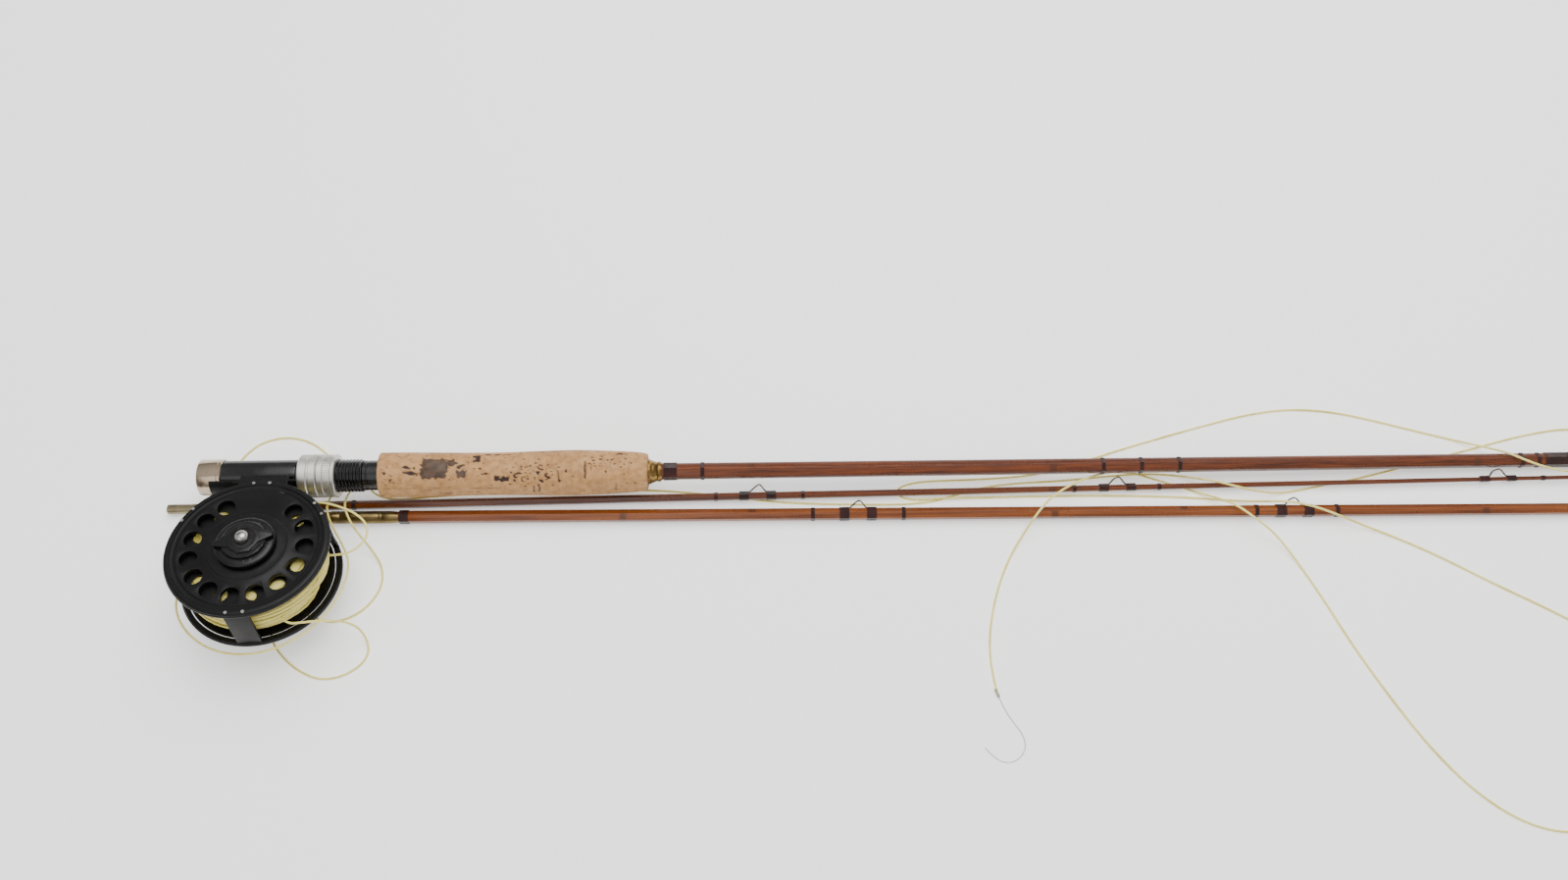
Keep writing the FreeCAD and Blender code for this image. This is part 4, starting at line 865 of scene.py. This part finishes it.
def seatRing():
    start = seat["threadEnd"]
    radius, size = collar["radius"], collar["length"]
    points = [(5.6, start), (radius - 0.6, start), (radius, start + 0.6), (radius, start + 2.2)]
    points += [(radius - 0.3, start + 2.5), (radius - 0.3, start + 3.1), (radius, start + 3.4)]
    points += [
        (radius, start + size - 0.5), (radius - 0.4, start + size - 0.03), (5.6, start + size - 0.03),
        (5.6, start),
    ]
    piece = turned("seatRingBlack", points)
    settle(piece, rodPlace, "butt_section", "seat", ["seat_collar"])


def windingCheck():
    start = grip["start"] + grip["length"]
    radius, end = check["radius"], grip["start"] + grip["length"] + check["length"]
    points = [
        (check["bore"], start + 0.02), (radius, start + 0.02), (radius, start + 1.3),
        (radius - 0.5, start + 1.7),
    ]
    points += [(radius - 1.0, start + 3.0), (radius - 1.7, start + 5.2), (radius - 1.9, start + 5.4)]
    points += [
        (radius - 1.4, start + 5.9), (radius - 1.4, start + 6.6), (radius - 2.0, end),
        (check["bore"], end),
    ]
    points += [(check["bore"], start + 0.02)]
    piece = turned("windingCheckBrass", points)
    settle(piece, rodPlace, "butt_section", "brass", ["winding_check"])


def lockNut():
    start = hood["start"] + hood["length"] + nut["gap"]
    radius, end, bore = nut["radius"], start + nut["length"], nut["bore"]
    points = [
        (bore, start), (radius - 0.4, start), (radius, start + 0.3), (radius, start + 3.2),
        (radius - 0.5, start + 3.6),
        (radius - 0.5, start + 4.0), (radius - 0.15, start + 4.2), (radius - 0.15, end - 2.4),
        (radius - 0.6, end - 2.1),
        (radius - 0.6, end - 1.8), (radius, end - 1.5), (radius, end - 0.4), (radius - 0.4, end),
        (bore, end), (bore, start),
    ]
    piece = turned("knurledLockNut", points, nut["flutes"] * 2)
    low, high = start + 4.25, end - 2.45
    turnOf = 2 * math.pi / (nut["flutes"] * 2)
    pickFaces(
        piece,
        lambda centre, normal: low - 0.1 < centre.z < high + 0.1
        and math.hypot(centre.x, centre.y) > radius - 0.3
        and int((math.atan2(centre.y, centre.x) % (2 * math.pi)) / turnOf) % 2 == 0,
    )
    bpy.ops.mesh.inset(thickness=0.05, use_individual=True)
    bpy.ops.transform.resize(value=(0.972, 0.972, 1), center_override=(0, 0, 0))
    bpy.ops.object.mode_set(mode="OBJECT")
    settle(piece, rodPlace, "nut", "silver", ["lock_nut"], 25)


endCap()
barrel()
seatRing()
windingCheck()
lockNut()
print("reel seat made")


# reel

reel = {"radius": 45.0, "half": 17.0, "plate": 3.5, "step": 1.0, "inner": 41.5, "root": 3.0}
holes = {"radius": 5.0, "circle": 31.5, "first": 122.5, "apart": 23.75, "count": 13}
tab = {"width": 27.0, "low": 36.0, "reach": 49.0}
knob = {
    "radius": 16.5, "step": 12.4, "low": 17.65, "shoulder": 21.4, "top": 24.75, "bore": 3.06,
    "leverTurn": 12, "leverBore": 4.5, "cuts": 60, "cutRadius": 0.62,
}
screw = {"washer": 4.0, "dome": 3.7, "rise": 2.7, "slot": (9.0, 0.9, 1.2), "slotTurn": 35}
pillar = {"angles": (35, 150, 273), "thickness": 2.0, "width": 13.5, "circle": 43.0}


def backPlate():
    low, top, radius = reel["half"] - reel["plate"], reel["half"], reel["radius"]
    step = top - reel["step"]
    points = [
        (reel["root"], low), (radius - 1.6, low), (radius, low + 0.5), (radius, low + 1.5),
        (radius - 0.35, low + 1.7),
        (radius - 0.35, top - 0.9), (radius - 0.8, top - 0.35), (radius - 2.0, top),
        (radius - 3.2, top),
        (radius - 3.7, step + 0.1), (radius - 5.6, step), (radius - 5.9, step - 0.35),
        (radius - 6.4, step - 0.35),
        (radius - 6.7, step), (24.6, step), (24.0, step + 0.3), (22.0, step + 0.4), (21.5, step + 0.8),
        (18.4, step + 0.9),
    ]
    points += [(17.9, top), (reel["root"], top), (reel["root"], low)]
    disc = turned("reelBackPlateDisc", points, 144)
    shoulder = block(
        "plateShoulder",
        (tab["width"], tab["reach"] - tab["low"], reel["plate"] - reel["step"]),
        (0, (tab["reach"] + tab["low"]) / 2, (low + step) / 2),
    )
    modify(disc, "BOOLEAN", operation="UNION", solver="EXACT", object=shoulder)
    bpy.data.objects.remove(shoulder)
    pegs = []
    for index in range(holes["count"]):
        angle = math.radians(holes["first"] + holes["apart"] * index)
        x, y = holes["circle"] * math.cos(angle), holes["circle"] * math.sin(angle)
        pegs.append(peg("plateHole", holes["radius"], low - 1, top + 1, x, y, 40))
    cutBy(disc, joined(pegs, "plateHoles"))
    softened(disc, 0.22, 2, 50)
    settle(disc, reelPlace, "butt_section", "reel", ["reel_back_plate"])


def frontRing():
    low, radius = -reel["half"], reel["radius"]
    high = low + reel["plate"]
    inner = reel["inner"]
    points = [
        (inner, low + 0.3), (inner + 0.3, low), (radius - 1.4, low), (radius - 0.3, low + 0.5),
        (radius, low + 1.1),
        (radius, high - 1.5), (radius - 0.4, high - 1.3), (radius - 0.4, high - 0.5),
        (radius - 0.9, high),
    ]
    points += [(inner + 0.3, high), (inner, high - 0.3), (inner, low + 0.3)]
    ring = turned("reelFrontRing", points, 144)
    settle(ring, reelPlace, "butt_section", "reel", ["reel_front_ring"])


def dragKnob():
    # a disc with a raised lever across it, two hub steps and a finely cut rim
    radius, tier, low, shoulder, top = (knob[key] for key in ("radius", "step", "low", "shoulder", "top"))
    bore = knob["bore"]
    points = [
        (bore, low + 2.2), (tier - 3, low + 2.2), (tier - 3, low), (radius - 0.5, low),
        (radius, low + 0.5),
        (radius, shoulder - 1.2), (radius - 0.5, shoulder - 0.5), (radius - 1.6, shoulder),
        (tier + 0.3, shoulder),
        (tier, shoulder + 0.4), (tier - 0.2, top - 1.6), (tier - 0.9, top - 1.1), (9.4, top - 1.1),
        (9.1, top - 0.9),
        (8.9, top - 0.2), (8.3, top), (6.6, top), (6.2, top - 0.5), (bore, top - 0.5),
        (bore, low + 2.2),
    ]
    piece = turned("dragKnobTwoTier", points, 144)
    shape = [
        (15.9, -1.6), (16.0, 1.0), (9.0, 4.6), (4.5, 8.2), (-4.5, 8.2), (-9.0, 4.6), (-16.0, 1.0),
        (-15.9, -1.6),
    ]
    shape += [(-7.6, -4.2), (-3.4, -9.4), (3.4, -9.4), (7.6, -4.2)]
    lever = slab("knobLever", shape, shoulder - 0.6, top - 0.3)
    softened(lever, 0.45, 3, 30)
    lever.data.transform(Matrix.Rotation(math.radians(knob["leverTurn"]), 4, "Z"))
    cutBy(lever, peg("leverBore", knob["leverBore"], low, top + 4, 0, 0, 48))
    cuts = []
    for index in range(knob["cuts"]):
        angle = 2 * math.pi * index / knob["cuts"]
        place = (radius + 0.35) * math.cos(angle), (radius + 0.35) * math.sin(angle)
        cuts.append(peg("gripCut", knob["cutRadius"], low - 1, shoulder - 0.4, *place, 10))
    cutBy(piece, joined(cuts, "gripCuts"))
    softened(piece, 0.12, 2, 45)
    whole = joined([piece, lever], "dragKnobTwoTier")
    settle(whole, reelPlace, "drag", "knob", ["drag_knob"])


def knobScrew():
    # a bright dome with a slot, on a flat washer
    low = knob["top"] - 1.0
    washer, radius, rise = screw["washer"], screw["dome"], screw["rise"]
    dome = [(0, low), (washer, low), (washer, low + 1.6), (radius, low + 2.4)]
    for step in range(1, 8):
        angle = math.radians(step * 90 / 7)
        dome.append((radius * math.cos(angle), low + 2.4 + rise * math.sin(angle)))
    piece = turned("knobScrewDome", dome, 64)
    slot = block("screwSlot", screw["slot"], (0, 0, low + 2.4 + rise))
    slot.data.transform(Matrix.Rotation(math.radians(screw["slotTurn"]), 4, "Z"))
    cutBy(piece, slot)
    softened(piece, 0.12, 2, 45)
    settle(piece, reelPlace, "butt_section", "steel", ["drag_knob_screw"])


def pillars():
    # flat bars between the plate and the ring, a little rounded
    made = []
    size = pillar["thickness"], pillar["width"], 2 * (reel["half"] - reel["plate"])
    for angle in pillar["angles"]:
        bar = block("reelPillar", size, (pillar["circle"], 0, 0))
        softened(bar, 0.5, 3, 40)
        bar.data.transform(Matrix.Rotation(math.radians(angle), 4, "Z"))
        made.append(bar)
    whole = joined(made, "reelPillarBars")
    settle(whole, reelPlace, "butt_section", "reel", ["reel_pillars"])


backPlate()
frontRing()
dragKnob()
knobScrew()
pillars()
print("reel frame made")


# the line on the spool: layers laid across the arbor and back, the outer ones loose and crossing

pack = {
    "low": -12.7, "high": 9.7, "arbor": 10.1, "inner": 31.0, "outer": 37.2, "most": 40.2,
    "lift": 1.2, "across": 17, "perTurn": 14, "loose": 16,
}


def woundLine():
    points = []
    across = pack["across"]
    angle = 0.0
    layers = int((pack["outer"] - pack["inner"]) / pack["lift"])
    for layer in range(layers):
        for turn in range(across):
            for step in range(pack["perTurn"]):
                share = (turn + step / pack["perTurn"]) / across
                place = share if layer % 2 == 0 else 1 - share
                radius = pack["inner"] + layer * pack["lift"] + 0.22 * math.sin(2.3 * angle + layer)
                height = pack["low"] + (pack["high"] - pack["low"]) * place
                points.append((radius, angle, height))
                angle += 2 * math.pi / pack["perTurn"]
    for turn in range(pack["loose"]):
        lean = random.uniform(-0.5, 0.5)
        middle = random.uniform(-9.5, 6.5)
        swing = random.uniform(1.0, 3.0)
        phase = random.uniform(0, 6.28)
        for step in range(pack["perTurn"]):
            radius = pack["outer"] + 0.7 + 2.4 * turn / pack["loose"] + 0.35 * math.sin(angle * 1.7 + phase)
            height = middle + swing * math.sin(angle + phase) + lean * 3
            height = max(pack["low"] + 0.1, min(pack["high"] - 0.1, height))
            points.append((min(radius, pack["most"]), angle, height))
            angle += 2 * math.pi / pack["perTurn"]
    route = [(radius * math.cos(turn), radius * math.sin(turn), height) for radius, turn, height in points]
    piece = tube("woundFlyLine", route, line["diameter"] / 2, 1, 3)
    choose(piece)
    bpy.ops.object.convert(target="MESH")
    piece = bpy.context.object
    arbor, inner, low, high = (pack[key] for key in ("arbor", "inner", "low", "high"))
    core = turned("lineCore", [(arbor, low), (inner, low), (inner, high), (arbor, high), (arbor, low)], 64)
    whole = joined([piece, core], "woundFlyLine")
    settle(whole, reelPlace, "spool", "line", ["wound_line"], 60)


woundLine()
print("spool wound")


# nail knot where the leader leaves the line

knot = {"length": 5.0, "radius": 0.95, "turns": 7}


def nailKnot():
    step = knot["length"] / knot["turns"]
    points = [(0, 0), (knot["radius"] * 0.5, 0)]
    for turn in range(knot["turns"]):
        start = turn * step
        points += [(knot["radius"] - 0.18, start), (knot["radius"], start + 0.5 * step)]
    points += [(knot["radius"] - 0.18, knot["length"]), (0, knot["length"])]
    piece = turned("nailKnot", points, 24)
    end, towards = onFloor(leaderRoute[0]), onFloor(leaderRoute[1])
    along = (towards - end).normalized()
    along.z = 0
    along.normalize()
    start = Vector((end.x, end.y, 0.98 * mm)) - along * 0.6 * knot["length"] * mm
    return settle(piece, alongRod(start, along), "butt_section", "nylon", [])


knotPiece = nailKnot()


# the pieces whose own shape is right, in their finishes

asDrawn = {
    "silk": ["butt_whippings", "mid_whippings", "tip_whippings"],
    "wire": ["mid_guides", "tip_guides", "tip_top"],
    "silver": ["sliding_hood"],
    "reel": ["reel_foot", "spool_arbor", "spool_rear_flange", "spool_front_flange"],
    "steel": [
        "frame_rivets", "reel_spindle", "drag_spring", "pawl_post", "click_pawl", "click_spring",
        "handle_pin", "counterweight", "spool_latch", "latch_cover", "latch_screws",
    ],
    "brass": ["click_gear", "spool_bush"],
    "fibre": ["drag_washer"],
    "arbor": ["seat_arbor"],
    "horn": ["handle_knob"],
}
for finish, names in asDrawn.items():
    for name in names:
        mesh = frame["nodes"][name].data
        mesh.materials.clear()
        mesh.materials.append(finishes[finish])
print("frame pieces finished")


# floor and light

studio = {"floor": 6.0, "zenith": 0.85, "horizon": 0.4, "key": 34.0, "fill": 4.0, "glow": 0.55}


def stage():
    deselect()
    bpy.ops.mesh.primitive_plane_add(size=studio["floor"])
    floor = bpy.context.object
    floor.name = "floor"
    made, tree, shader, coords = newMaterial(
        "paleFloor", Roughness=0.95, Specular_IOR_Level=0.05, Emission_Strength=studio["glow"]
    )
    faint = patches(tree, coords, 2.0, 0.3, 0.8)
    paper = mixed(tree, faint, (0.95, 0.95, 0.95, 1), (0.935, 0.935, 0.935, 1))
    tree.links.new(paper, shader.inputs["Base Color"])
    shader.inputs["Emission Color"].default_value = (1, 1, 1, 1)
    floor.data.materials.append(made)
    world = bpy.data.worlds.new("studio")
    world.use_nodes = True
    tree = world.node_tree
    upwards = add(tree, "ShaderNodeTexCoord").outputs["Generated"]
    height = add(tree, "ShaderNodeSeparateXYZ", {0: upwards}).outputs[2]
    fade = {"Value": height, 1: 0.1, 2: 0.85, 3: studio["horizon"], 4: studio["zenith"]}
    sky = add(tree, "ShaderNodeMapRange", fade)
    tree.links.new(sky.outputs[0], tree.nodes["Background"].inputs["Strength"])
    tree.nodes["Background"].inputs["Color"].default_value = (1, 1, 1, 1)
    bpy.context.scene.world = world
    lamps = {
        "key": ((0.1, 0.55, 1.5), (-20, 0, 0), 1.5, studio["key"]),
        "fill": ((-1.0, -0.9, 1.3), (38, -30, 0), 1.2, studio["fill"]),
    }
    for name, (place, turn, size, power) in lamps.items():
        lamp = bpy.data.lights.new(name, "AREA")
        lamp.size = size
        lamp.energy = power
        made = bpy.data.objects.new(name, lamp)
        made.location = place
        made.rotation_euler = [math.radians(part) for part in turn]
        bpy.context.scene.collection.objects.link(made)


stage()
